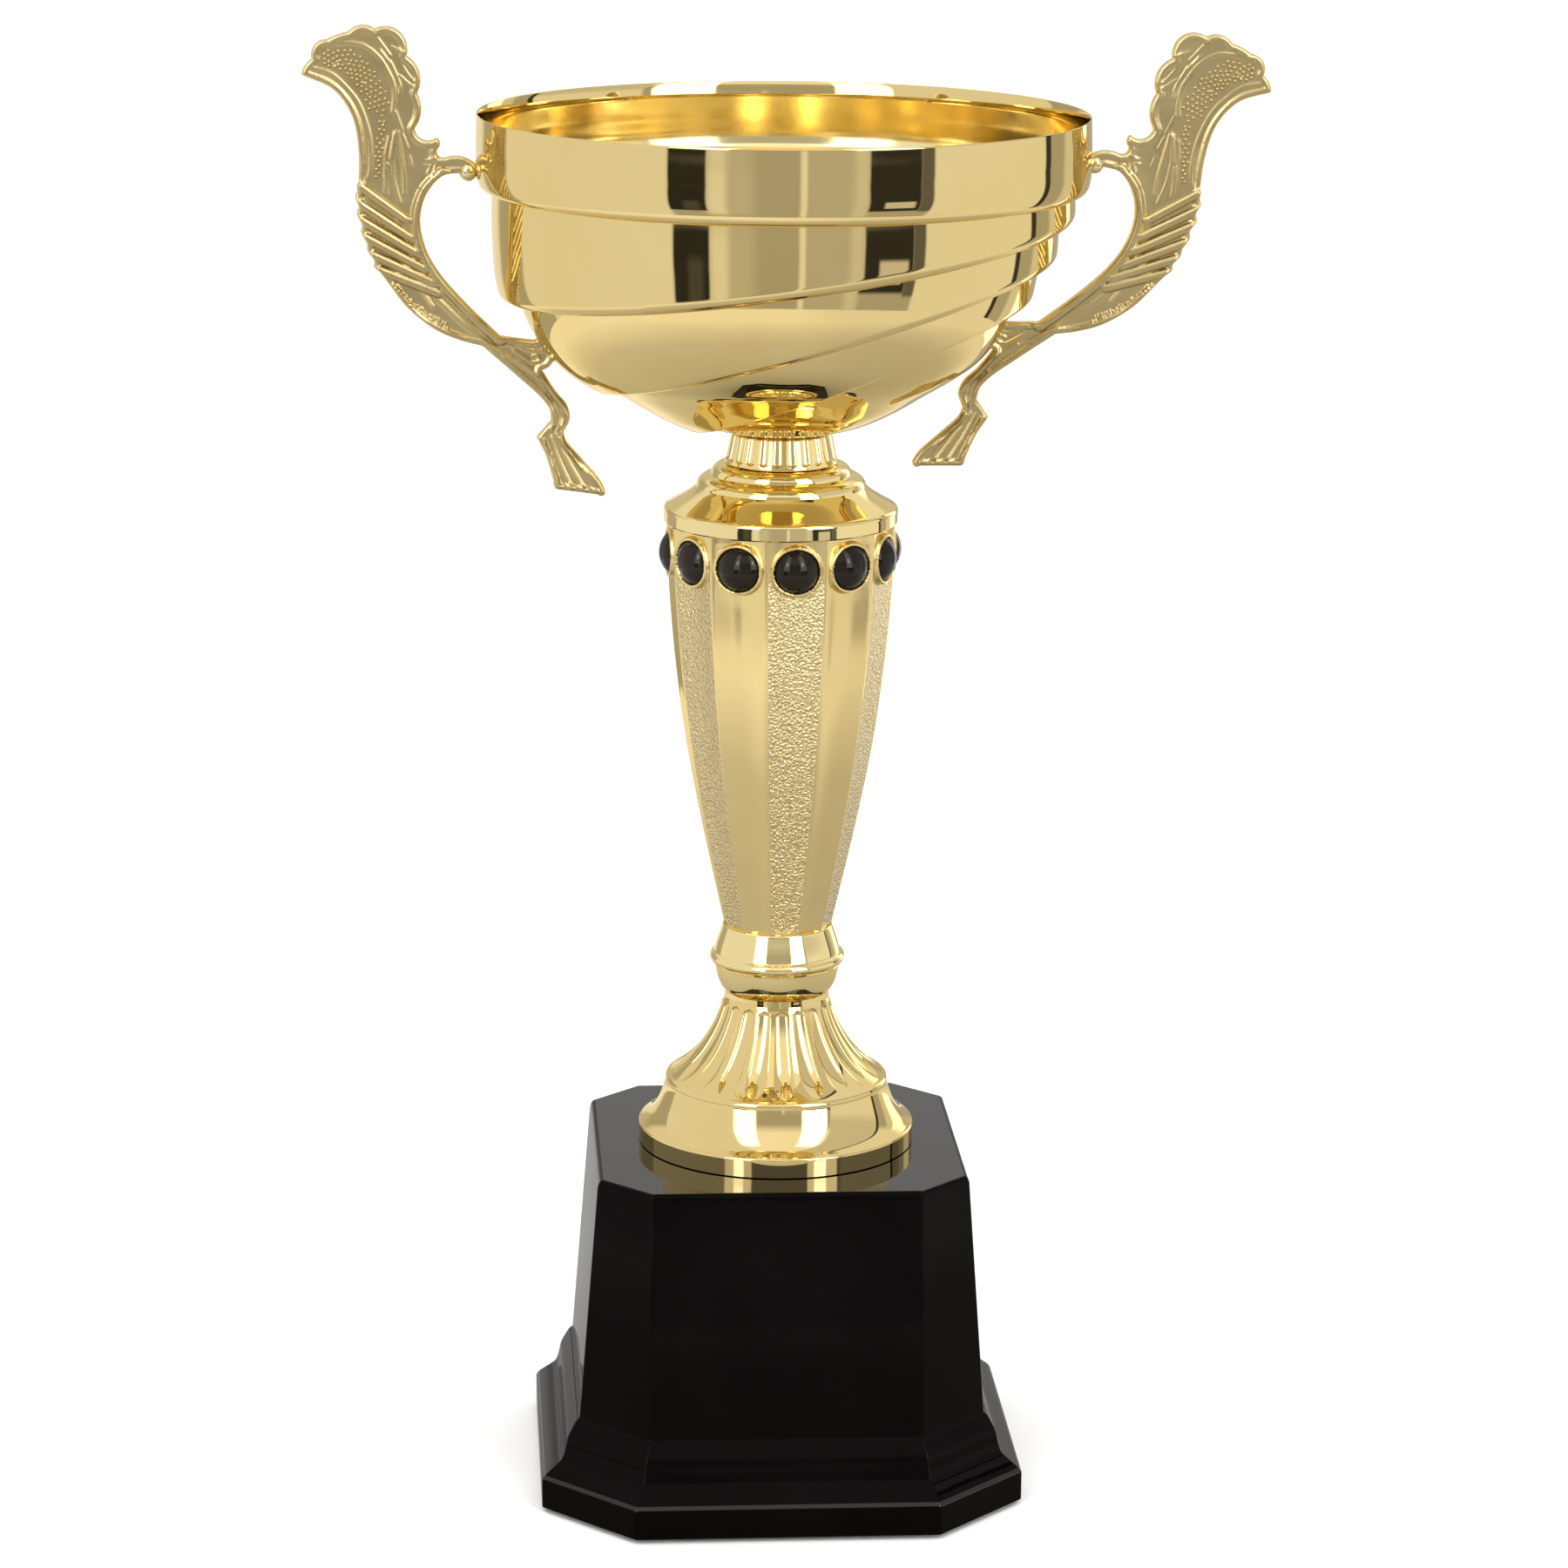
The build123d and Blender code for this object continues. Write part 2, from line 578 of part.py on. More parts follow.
def handle(place, bowl_clearance, blank):
    trimmed = place(blank) - bowl_clearance
    trimmed = trimmed.solids().sort_by(SortBy.VOLUME)[-1]
    pegs = [place(peg(ends, PEG_RADIUS)) for ends in (UPPER_PEG, LOWER_PEG)]
    return trimmed.fuse(*pegs)


def push_nut(place, ends, distance):
    """Dished spring nut pushed onto a peg; its rim faces the bowl's wall."""
    grip = PEG_RADIUS + 0.05
    rim = 2.7
    dish = Polyline(*rz((grip, 0.7), (rim, 0.0), (rim, 0.4), (grip, 1.1)), close=True)
    ring = revolve(make_face(dish), Axis.Z)
    along = at(ends[1]) - at(ends[0])
    seat = Plane(origin=at(ends[0]) + along.normalized() * distance, z_dir=along)
    return place(seat * ring)


UPPER_NUT_SEAT = 2.9         # distance of a push nut from its peg's root
LOWER_NUT_SEAT = 6.8


# ---------------------------------------------------------------- write every node
save("base_shell", base_shell())
save("base_weight", base_weight())
save("base_cover", base_cover())
save("base_felt", base_felt())
save("tie_rod", tie_rod())
save("base_washer", washer(BASE_NUT_TOP))
save("base_nut", hex_nut(BASE_NUT_TOP - NUT_HEIGHT))
save("foot", foot())
save("knop", knop())
save("column", column())
for number in range(PANELS):
    save(f"gem_{number + 1:02d}", gem(number))
save("shoulder", shoulder())
save("neck", neck())
save("bowl_seat_washer", bowl_seat_washer())

bowl_outside = bowl_solid(0.0, BOWL_SEAT)
save("bowl", bowl(bowl_outside, peg_holes()))
save("bowl_washer", washer(BOWL_FLOOR))
save("bowl_nut", hex_nut(BOWL_FLOOR + WASHER_HEIGHT))

bowl_clearance = bowl_solid(HANDLE_GAP, BOWL_SEAT)
blank_handle = casting()
save("handle_left", handle(on_left, bowl_clearance, blank_handle))
save("handle_right", handle(on_right, bowl_clearance, blank_handle))
for side, place in (("left", on_left), ("right", on_right)):
    save(f"push_nut_{side}_upper", push_nut(place, UPPER_PEG, UPPER_NUT_SEAT))
    save(f"push_nut_{side}_lower", push_nut(place, LOWER_PEG, LOWER_NUT_SEAT))
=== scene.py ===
import math

import bpy
import numpy as np
from mathutils import Matrix, Vector
from mathutils.geometry import delaunay_2d_cdt


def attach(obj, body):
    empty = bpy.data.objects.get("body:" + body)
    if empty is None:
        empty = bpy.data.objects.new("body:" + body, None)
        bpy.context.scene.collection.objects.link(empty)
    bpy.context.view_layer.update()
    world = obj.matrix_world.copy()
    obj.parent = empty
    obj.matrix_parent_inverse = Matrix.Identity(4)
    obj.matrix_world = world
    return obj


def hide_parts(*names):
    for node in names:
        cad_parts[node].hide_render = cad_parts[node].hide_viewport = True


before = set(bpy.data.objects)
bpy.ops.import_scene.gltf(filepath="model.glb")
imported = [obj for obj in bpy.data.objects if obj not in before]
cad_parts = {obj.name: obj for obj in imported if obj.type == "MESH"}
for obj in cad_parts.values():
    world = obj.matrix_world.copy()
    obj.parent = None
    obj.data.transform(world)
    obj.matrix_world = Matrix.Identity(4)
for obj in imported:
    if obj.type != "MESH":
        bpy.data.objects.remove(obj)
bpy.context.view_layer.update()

# Cup trophy. Shapes below are worked out in millimetres in the frame of the packed
# part (+Z up, origin at the centre of the base's underside) and scaled to metres.
MM = 0.001
TURN = 2 * math.pi
SEED = 7
RNG = np.random.default_rng(SEED)

# ---- dimensions, mm
BASE_WIDTH = 113.4
BASE_CHAMFER = 21.2
BASE_HEIGHT = 80.0
FOOT_TOP = 117.0
KNOP_TOP = 133.2
COLUMN_TOP = 229.9
SHOULDER_TOP = 243.5
NECK_TOP = 250.7
BOWL_SEAT = 251.2
RIM_HEIGHT = 324.2
ROD_HOLE = 3.4

PANELS = 12
PITCH = TURN / PANELS
FIRST_PANEL = math.radians(-90 + 4.5)
GEM_RADIUS = 4.9
GEM_DOME = 3.3
GEM_HEIGHT = 222.9
BEZEL_RADIUS = 6.0
BEZEL_RISE = 0.85
POCKET_DEPTH = 0.5


# ---- mesh helpers
def add_mesh(name, vertices, faces, materials):
    """Mesh object in the scene, from vertices in metres."""
    mesh = bpy.data.meshes.new(name)
    mesh.from_pydata(vertices.tolist(), [], faces)
    for material in materials:
        mesh.materials.append(material)
    thing = bpy.data.objects.new(name, mesh)
    bpy.context.scene.collection.objects.link(thing)
    return thing


def build(name, vertices, faces, materials, face_material=None, sharp=32.0):
    """Mesh object from millimetre vertices, smooth except at edges over the sharp angle."""
    thing = add_mesh(name, np.asarray(vertices) * MM, [list(f) for f in faces], materials)
    mesh = thing.data
    if face_material is not None:
        mesh.polygons.foreach_set("material_index", np.asarray(face_material, dtype=np.int32))
    mesh.polygons.foreach_set("use_smooth", np.ones(len(mesh.polygons), dtype=bool))
    mesh.validate()
    mesh.set_sharp_from_angle(angle=math.radians(sharp))
    mesh.update()
    return thing


def turns(columns):
    """Angles of the columns of a ring."""
    return np.arange(columns) / columns * TURN


def around(profile, columns):
    """Radius and height grids of a profile, repeated for every column."""
    profile = np.asarray(profile, dtype=float)
    return [np.repeat(profile[:, k:k + 1], columns, axis=1) for k in (0, 1)]


def spun(r, z, theta):
    """Vertices of a grid of radii and heights at the angles of its columns."""
    return np.column_stack([(r * np.cos(theta)).ravel(), (r * np.sin(theta)).ravel(), z.ravel()])


def ring_faces(rows, columns, closed_rows=False):
    """Quads of a grid whose columns close round the axis."""
    faces = []
    for i in range(rows if closed_rows else rows - 1):
        low, high = i * columns, (i + 1) % rows * columns
        for j in range(columns):
            k = (j + 1) % columns
            faces.append((low + j, low + k, high + k, high + j))
    return faces


def blend(a, b, low, high, t):
    """Straight blend from a at low to b at high."""
    return (high - t) / (high - low) * a + (t - low) / (high - low) * b


def smooth_curve(points, step):
    """Catmull-Rom curve through the points, sampled about every step mm."""
    points = np.asarray(points, dtype=float)
    ends = np.vstack([2 * points[0] - points[1], points, 2 * points[-1] - points[-2]])
    samples = []
    for i in range(1, len(ends) - 2):
        p = ends[i - 1:i + 3]
        knot = [0.0]
        for a, b in zip(p, p[1:]):
            knot.append(knot[-1] + max(np.linalg.norm(b - a), 1e-9) ** 0.5)
        count = max(2, int(math.ceil(np.linalg.norm(p[2] - p[1]) / step)))
        for t in np.linspace(knot[1], knot[2], count, endpoint=False):
            once = [blend(p[k], p[k + 1], knot[k], knot[k + 1], t) for k in range(3)]
            twice = [blend(once[k], once[k + 1], knot[k], knot[k + 2], t) for k in range(2)]
            samples.append(blend(*twice, knot[1], knot[2], t))
    samples.append(points[-1])
    return np.array(samples)


def straight(points, step):
    """Straight-sided line through the points, sampled about every step mm."""
    points = np.asarray(points, dtype=float)
    samples = []
    for a, b in zip(points, points[1:]):
        count = max(1, int(math.ceil(np.linalg.norm(b - a) / step)))
        samples.extend(a + (b - a) * t for t in np.linspace(0, 1, count, endpoint=False))
    samples.append(points[-1])
    return np.array(samples)


def arc(start, middle, end, count):
    """Circular arc through three points of a profile."""
    (ax, ay), (bx, by), (cx, cy) = start, middle, end
    a2, b2, c2 = (x ** 2 + y ** 2 for x, y in (start, middle, end))
    d = 2 * (ax * (by - cy) + bx * (cy - ay) + cx * (ay - by))
    ux = (a2 * (by - cy) + b2 * (cy - ay) + c2 * (ay - by)) / d
    uy = (a2 * (cx - bx) + b2 * (ax - cx) + c2 * (bx - ax)) / d
    radius = math.hypot(ax - ux, ay - uy)
    first, second, third = (math.atan2(y - uy, x - ux) for x, y in (start, middle, end))
    sweep = (third - first) % TURN
    if (second - first) % TURN > sweep:
        sweep -= TURN
    angles = first + np.linspace(0, 1, count) * sweep
    return np.column_stack([ux + radius * np.cos(angles), uy + radius * np.sin(angles)])


def joined(*parts):
    """Profile pieces joined end to end, dropping repeated points."""
    points = np.vstack(parts)
    keep = np.ones(len(points), dtype=bool)
    keep[1:] = np.linalg.norm(np.diff(points, axis=0), axis=1) > 1e-6
    return points[keep]


def traced(start, *pieces):
    """Profile of pieces (kind, count or step, points), each from where the last one ended."""
    parts = []
    for kind, fineness, *points in pieces:
        points = [start, *points]
        start = points[-1]
        if kind == "arc":
            parts.append(arc(*points, fineness))
        else:
            parts.append(smooth_curve(points, fineness) if kind == "curve" else straight(points, fineness))
    return joined(*parts)


def lathe(name, outer, inner, columns, material, shape=None):
    """Closed solid of revolution: the outer profile upwards, then the inner one downwards.
    shape(r, z, theta) may change the radius of the outer profile's points."""
    theta = turns(columns)
    r, z = around(outer, columns)
    if shape is not None:
        r = shape(r, z, theta)
    inner_r, inner_z = around(inner, columns)
    r, z = np.vstack([r, inner_r]), np.vstack([z, inner_z])
    return build(name, spun(r, z, theta), ring_faces(len(r), columns, closed_rows=True), [material])


def smoothstep(low, high, value):
    t = np.clip((value - low) / (high - low), 0, 1)
    return t * t * (3 - 2 * t)


# ---- material helpers
class Nodes:
    """Small helper to write a node tree as code."""

    def __init__(self, tree):
        self.tree = tree
        self.tree.nodes.clear()

    def add(self, kind, inputs=None, **settings):
        node = self.tree.nodes.new(kind)
        for key, value in settings.items():
            setattr(node, key, value)
        for key, value in (inputs or {}).items():
            self.put(node.inputs[key], value)
        return node

    def put(self, socket, value):
        if isinstance(value, bpy.types.NodeSocket):
            self.tree.links.new(value, socket)
        else:
            socket.default_value = value

    def math(self, operation, *values):
        node = self.add("ShaderNodeMath", operation=operation)
        for socket, value in zip(node.inputs, values):
            self.put(socket, value)
        return node.outputs[0]

    def span(self, value, low, high, to_low=0.0, to_high=1.0, smooth=False):
        kind = "SMOOTHSTEP" if smooth else "LINEAR"
        node = self.add("ShaderNodeMapRange", interpolation_type=kind)
        for key, number in (("From Min", low), ("From Max", high), ("To Min", to_low), ("To Max", to_high)):
            node.inputs[key].default_value = number
        self.put(node.inputs["Value"], value)
        return node.outputs["Result"]

    def noise(self, where, scale, detail=3.0, roughness=0.5):
        inputs = {"Vector": where, "Scale": scale, "Detail": detail, "Roughness": roughness}
        return self.add("ShaderNodeTexNoise", inputs).outputs["Fac"]

    def ramp(self, value, stops):
        node = self.add("ShaderNodeValToRGB", {"Fac": value})
        elements = node.color_ramp.elements
        while len(elements) < len(stops):
            elements.new(0.5)
        for element, (position, colour) in zip(elements, stops):
            element.position = position
            element.color = (*colour, 1)
        return node.outputs["Color"]

    def bump(self, height, strength, distance, normal=None):
        node = self.add("ShaderNodeBump", {"Height": height, "Strength": strength, "Distance": distance})
        if normal is not None:
            self.put(node.inputs["Normal"], normal)
        return node.outputs["Normal"]


def new_material(name):
    material = bpy.data.materials.new(name)
    material.use_nodes = True
    return material, Nodes(material.node_tree)


def finish_material(nodes, shader_inputs):
    shader = nodes.add("ShaderNodeBsdfPrincipled", shader_inputs)
    nodes.add("ShaderNodeOutputMaterial", {"Surface": shader.outputs[0]})


def object_place(nodes):
    return nodes.add("ShaderNodeTexCoord").outputs["Object"]


def gold_material(name, light, dark, rough_low, rough_high, ripple=0.0, grain=0.0, softening=None):
    """Gold plate: slight colour drift, smears that change the gloss, faint ripple and grain.
    softening (low, high, amount) adds roughness between two heights, given in metres."""
    material, n = new_material(name)
    place = object_place(n)
    drift = n.noise(place, 35.0, 4.0, 0.55)
    colour = n.ramp(drift, [(0.3, dark), (0.7, light)])
    smear = n.noise(place, 160.0, 5.0, 0.6)
    rough = n.span(smear, 0.35, 0.75, rough_low, rough_high)
    if softening is not None:
        height = n.add("ShaderNodeSeparateXYZ", {"Vector": place}).outputs["Z"]
        low, high, amount = softening
        rough = n.math("ADD", rough, n.span(height, low, high, 0.0, amount, smooth=True))
    inputs = {"Base Color": colour, "Metallic": 1.0, "Roughness": rough, "Specular Tint": (1.0, 0.93, 0.72, 1.0)}
    normal = None
    if ripple:
        normal = n.bump(n.noise(place, 45.0, 2.0), ripple, 0.0006)
    if grain:
        normal = n.bump(n.noise(place, 2600.0, 3.0, 0.65), grain, 0.0002, normal)
    if normal is not None:
        inputs["Normal"] = normal
    finish_material(n, inputs)
    return material


def stipple_material(name):
    """Satin gold with a dense cast stipple that sparkles."""
    material, n = new_material(name)
    place = object_place(n)
    cells = n.add("ShaderNodeTexVoronoi", {"Vector": place, "Scale": 1420.0})
    pebble = n.span(cells.outputs["Distance"], 0.0, 0.75, 1.0, 0.0)
    grit = n.noise(place, 1650.0, 2.0, 0.6)
    height = n.math("ADD", n.math("MULTIPLY", pebble, 0.6), grit)
    colour = n.ramp(grit, [(0.3, (0.62, 0.49, 0.235)), (0.7, (0.84, 0.70, 0.40))])
    rough = n.span(grit, 0.3, 0.7, 0.10, 0.28)
    normal = n.bump(height, 0.80, 0.00045)
    finish_material(n, {"Base Color": colour, "Metallic": 1.0, "Roughness": rough, "Normal": normal})
    return material


def dark_gloss_material(name, colour, streak, rough_low, rough_high, ripple, gloss):
    """Black moulded plastic: deep gloss, faint waviness, dust-fine specks."""
    material, n = new_material(name)
    place = object_place(n)
    tone = n.ramp(n.noise(place, 60.0, 4.0), [(0.3, colour), (0.75, streak)])
    rough = n.span(n.noise(place, 420.0, 5.0, 0.65), 0.4, 0.8, rough_low, rough_high)
    normal = n.bump(n.noise(place, 38.0, 2.0), ripple, 0.0006)
    finish_material(n, {
        "Base Color": tone, "Roughness": rough, "IOR": 1.52, "Specular IOR Level": gloss, "Normal": normal,
    })
    return material


def plain_material(name, dark, light, scale, rough, metal, bump_strength, bump_scale):
    """Base material of the hidden hardware and boards."""
    material, n = new_material(name)
    place = object_place(n)
    colour = n.ramp(n.noise(place, scale, 6.0, 0.6), [(0.3, dark), (0.7, light)])
    wear = n.span(n.noise(place, scale * 3, 4.0), 0.3, 0.8, rough * 0.8, rough * 1.2)
    normal = n.bump(n.noise(place, bump_scale, 4.0, 0.6), bump_strength, 0.0004)
    finish_material(n, {"Base Color": colour, "Metallic": metal, "Roughness": wear, "Normal": normal})
    return material


bowl_gold = gold_material(
    "polished_gold_plate", (0.800, 0.635, 0.300), (0.770, 0.600, 0.265), 0.015, 0.05, ripple=0.05)
plastic_gold = gold_material(
    "metallised_gold", (0.81, 0.64, 0.30), (0.775, 0.595, 0.25), 0.03, 0.08, ripple=0.10)
column_gold = gold_material(
    "soft_gold_column", (0.82, 0.66, 0.32), (0.78, 0.61, 0.27), 0.03, 0.08, ripple=0.10,
    softening=(0.190, 0.218, 0.20))
# Painted highlight: a lighter copy of the gold plastic for the knop, the column's cap and the neck, so they read as
# catching the lamps.
cap_gold_painted_highlight = gold_material(
    "gold_cap_painted_highlight", (0.90, 0.745, 0.37), (0.87, 0.70, 0.33), 0.03, 0.08, ripple=0.10)
# Painted light: the bowl's inside takes a lighter copy of its gold, also rougher, so the hollow reads brighter.
inside_gold_painted_light = gold_material(
    "gold_inside_painted_light", (0.93, 0.80, 0.44), (0.90, 0.76, 0.40), 0.10, 0.16, ripple=0.05)
# Polished edge of the handles: smoother than the face, and a much lighter gold as a painted highlight along the
# outline.
edge_gold_painted_highlight = gold_material(
    "handle_polished_edge_painted_highlight", (0.84, 0.70, 0.38), (0.80, 0.64, 0.31), 0.10, 0.20, grain=0.05)
face_gold = gold_material(
    "handle_satin_face", (0.54, 0.437, 0.224), (0.465, 0.368, 0.179), 0.26, 0.38, grain=0.16)
satin_gold = stipple_material("stippled_gold")
BLACKS = (0.0009, 0.0006, 0.0006), (0.0016, 0.0012, 0.0012)
base_top_black = dark_gloss_material("gloss_black_top", *BLACKS, 0.03, 0.07, 0.10, gloss=0.45)
gem_black = dark_gloss_material(
    "black_cabochon", (0.006, 0.004, 0.002), (0.012, 0.008, 0.004), 0.02, 0.06, 0.05, gloss=0.22)
base_black = dark_gloss_material("gloss_black_moulding", *BLACKS, 0.03, 0.08, 0.12, gloss=0.05)
# name, dark, light, scale, roughness, metallic, bump strength and scale
steel = plain_material("zinc_plated_steel", (0.50, 0.51, 0.53), (0.68, 0.69, 0.70), 300.0, 0.32, 1.0, 0.2, 900.0)
spring = plain_material("spring_steel", (0.30, 0.30, 0.31), (0.46, 0.46, 0.47), 400.0, 0.38, 1.0, 0.2, 900.0)
ballast = plain_material("cast_ballast", (0.48, 0.46, 0.42), (0.68, 0.66, 0.61), 90.0, 0.85, 0.0, 0.8, 500.0)
board = plain_material("hardboard", (0.20, 0.12, 0.06), (0.34, 0.22, 0.12), 350.0, 0.7, 0.0, 0.5, 1200.0)
felt = plain_material("black_felt", (0.010, 0.010, 0.012), (0.035, 0.035, 0.040), 900.0, 0.95, 0.0, 1.0, 2500.0)
fibre = plain_material("red_fibre", (0.26, 0.10, 0.05), (0.38, 0.17, 0.09), 500.0, 0.6, 0.0, 0.4, 1500.0)


# ---- base
def octagon_ring(half, chamfer, z):
    """Eight corners of a square of the given half width with its corners cut."""
    inner = half - chamfer
    corners = []
    for cosine, sine in ((1, 0), (0, 1), (-1, 0), (0, -1)):
        for x, y in ((half, -inner), (half, inner)):
            corners.append((x * cosine - y * sine, x * sine + y * cosine, z))
    return corners


def band_ring(half, z):
    """Ring of the lower moulding, whose cut corners run parallel at every height."""
    inset = BASE_WIDTH / 2 - half
    return octagon_ring(half, BASE_CHAMFER - (2 - math.sqrt(2)) * inset, z)


def make_base():
    ogee = [(53.4, 10.6), (52.0, 11.9), (51.2, 14.2), (50.6, 16.9), (49.6, 19.0), (48.6, 20.8)]
    outside = [(BASE_WIDTH / 2, 0.5), (BASE_WIDTH / 2, 7.6), (56.0, 8.5), *smooth_curve(ogee, 0.9), (47.8, 21.4)]
    rings = [band_ring(half, z) for half, z in outside]
    rings += [octagon_ring(*row) for row in ((43.5, 12.0, 78.2), (43.05, 11.65, 79.55), (42.3, 11.0, BASE_HEIGHT))]
    top_row = len(rings) - 1
    hole = [(ROD_HOLE * math.cos(a), ROD_HOLE * math.sin(a)) for a in (np.arange(8) - 0.5) * TURN / 8]
    rings += [[(x, y, z) for x, y in hole] for z in (BASE_HEIGHT, 77.0)]
    rings += [octagon_ring(40.5, 10.4, 77.0), octagon_ring(44.8, 14.4, 21.4)]
    rings += [band_ring(half, z) for half, z in ((46.0, 9.0), (52.8, 3.2), (52.8, 0.5))]
    vertices = [corner for ring in rings for corner in ring]
    faces = ring_faces(len(rings), 8, closed_rows=True)
    on_top = [1 if index // 8 in (1, top_row) else 0 for index in range(len(faces))]
    base = build("plinth", vertices, faces, [base_black, base_top_black], on_top, sharp=18.0)
    bevel = base.modifiers.new("edge_radius", "BEVEL")
    bevel.width = 0.0005
    bevel.segments = 3
    bevel.limit_method = "ANGLE"
    bevel.angle_limit = math.radians(22)
    bevel.harden_normals = True
    return base


# ---- turned pieces
FOOT_FLUTES = 20
FLUTE_SHARE = 0.38           # half width of a channel as a share of the flute pitch
FLUTE_TURN = 1.5             # direction of the first channel, degrees
FLUTE_SPAN = (96.6, 114.6)
FLUTE_DEPTH = 0.050          # share of the radius
NECK_FLUTES = 24
REED_SHARE = 0.36
REED_SPAN = (244.5, 252.0)   # runs out over the neck's top
REED_DEPTH = 0.62


def channels(z, pitches, share, span, reach):
    """How far inside a rounded-ended channel each point lies, 1 on its middle line.
    pitches is the angle counted in flute pitches, reach the height of each end."""
    across = np.abs(pitches % 1 - 0.5) / share
    from_low = np.clip((z - span[0]) / reach[0], 0, 1)
    from_high = np.clip((span[1] - z) / reach[1], 0, 1)
    ends = np.sqrt(1 - (1 - from_low) ** 2) * np.sqrt(1 - (1 - from_high) ** 2)
    return np.clip(ends ** 2 - across ** 2, 0, 1)


def foot_shape(r, z, theta):
    """Concave channels down the bell, flatter towards their lower ends."""
    pitches = theta / (TURN / FOOT_FLUTES) + 0.5 - FLUTE_TURN / 360 * FOOT_FLUTES
    inside = channels(z, pitches, FLUTE_SHARE, FLUTE_SPAN, (4.2, 1.3))
    gentle = 0.5 + 0.45 * smoothstep(102.0, 97.5, z)
    return r - FLUTE_DEPTH * r * inside ** gentle * smoothstep(0.0, 0.12, inside)


def make_foot():
    outer = traced(
        # flange, sweep, lip, bell, throat
        (31.9, BASE_HEIGHT),
        ("line", 1.0, (32.65, 80.25), (32.7, 84.2)),
        ("arc", 6, (32.6, 84.65), (32.2, 84.9)),
        ("curve", 0.5, (30.2, 86.4), (28.6, 88.5), (27.4, 91.0), (26.6, 93.6), (26.35, 95.0)),
        ("arc", 10, (26.2, 95.9), (25.3, 96.35)),
        ("arc", 130, (17.6, 104.0), (12.9, 114.0)),
        ("curve", 0.3, (12.45, 115.3), (12.3, FOOT_TOP)),
    )
    inner = [
        (ROD_HOLE, FOOT_TOP), (ROD_HOLE, 113.5), (10.4, 113.5), (11.8, 109.0),
        (16.2, 101.5), (23.0, 93.5), (24.5, 90.5), (27.5, 86.0), (29.5, BASE_HEIGHT),
    ]
    return lathe("bell_foot", outer, inner, 960, plastic_gold, foot_shape)


def make_knop():
    outer = traced(
        # cup, groove, bead, step, collar, lip
        (12.3, FOOT_TOP),
        ("curve", 0.25, (13.3, 118.3), (14.05, 120.0), (14.5, 121.8), (14.7, 123.4)),
        ("arc", 5, (14.55, 123.7), (14.85, 123.95)),
        ("arc", 22, (15.95, 125.1), (15.1, 126.6)),
        ("arc", 5, (14.85, 126.85), (14.8, 127.1)),
        ("curve", 0.25, (14.5, 128.3), (13.95, 130.0), (13.35, 131.7), (13.0, 132.7)),
        ("arc", 5, (12.85, 133.1), (12.5, KNOP_TOP)),
    )
    return lathe("knop_collar", outer, [(ROD_HOLE, KNOP_TOP), (ROD_HOLE, FOOT_TOP)], 360, cap_gold_painted_highlight)


def make_shoulder():
    outer = traced(
        # ring, its rim, slope, two rolled steps with a notch between them
        (26.9, COLUMN_TOP),
        ("line", 0.6, (27.15, 230.2), (27.2, 232.5)),
        ("arc", 10, (27.05, 233.35), (26.3, 233.85)),
        ("curve", 0.4, (24.4, 234.95), (22.2, 236.3), (20.6, 237.5), (19.75, 238.35)),
        ("arc", 16, (19.0, 240.0), (17.3, 240.85)),
        ("line", 0.5, (16.3, 241.1)),
        ("arc", 16, (15.7, 242.7), (13.6, SHOULDER_TOP)),
    )
    inner = [
        (ROD_HOLE, SHOULDER_TOP), (ROD_HOLE, 239.5), (14.5, 239.5), (17.5, 236.6), (24.6, 232.4), (24.6, COLUMN_TOP),
    ]
    return lathe("column_cap", outer, inner, 480, cap_gold_painted_highlight)


def neck_shape(r, z, theta):
    """Upright reeding: rounded channels between narrow ridges, open at the top."""
    inside = channels(z, theta / (TURN / NECK_FLUTES), REED_SHARE, REED_SPAN, (0.8, 0.9))
    return r - REED_DEPTH * np.sqrt(inside) * smoothstep(0.0, 0.15, inside)


def make_neck():
    outer = traced(
        (12.4, SHOULDER_TOP),
        ("arc", 5, (13.0, 243.75), (13.0, 244.2)),
        ("line", 0.12, (11.75, 250.3)),
        ("arc", 5, (11.6, 250.6), (11.3, NECK_TOP)),
    )
    return lathe("fluted_neck", outer, [(ROD_HOLE, NECK_TOP), (ROD_HOLE, SHOULDER_TOP)], 720, cap_gold_painted_highlight, neck_shape)


# ---- column and gems
COLUMN_CORNERS = [
    (12.8, KNOP_TOP), (15.5, 145.0), (18.8, 160.0), (21.7, 175.0), (23.9, 190.0),
    (25.5, 205.0), (26.4, 218.0), (26.8, COLUMN_TOP),
]
COLUMN_CORE = [
    (ROD_HOLE, COLUMN_TOP), (ROD_HOLE, 226.9), (22.9, 226.9), (22.9, 218.0), (22.0, 205.0), (20.5, 190.0),
    (18.4, 175.0), (15.6, 160.0), (12.4, 145.0), (9.4, 136.2), (ROD_HOLE, 136.2), (ROD_HOLE, KNOP_TOP),
]
COLUMN_COLUMNS = PANELS * 72
CORNER_SOFTNESS = 0.35       # how far the twelve corners are rounded off, mm
HOLLOW = 0.70                # depth of the polished panels' hollow, mm
WIDEST = 27.0                # the bezels stay inside the cap's ring


def gem_seat():
    """Distance of the panels from the axis at the gems' height."""
    low, high = COLUMN_CORNERS[-2:]
    share = (GEM_HEIGHT - low[1]) / (high[1] - low[1])
    return (low[0] + share * (high[0] - low[0])) * math.cos(PITCH / 2)


GEM_SEAT = gem_seat()


def panel_places(theta):
    """Number of the panel at each angle, and the angle from that panel's middle."""
    turn = (theta - FIRST_PANEL) / PITCH
    panel = np.floor(turn + 0.5)
    return panel.astype(int), (turn - panel) * PITCH


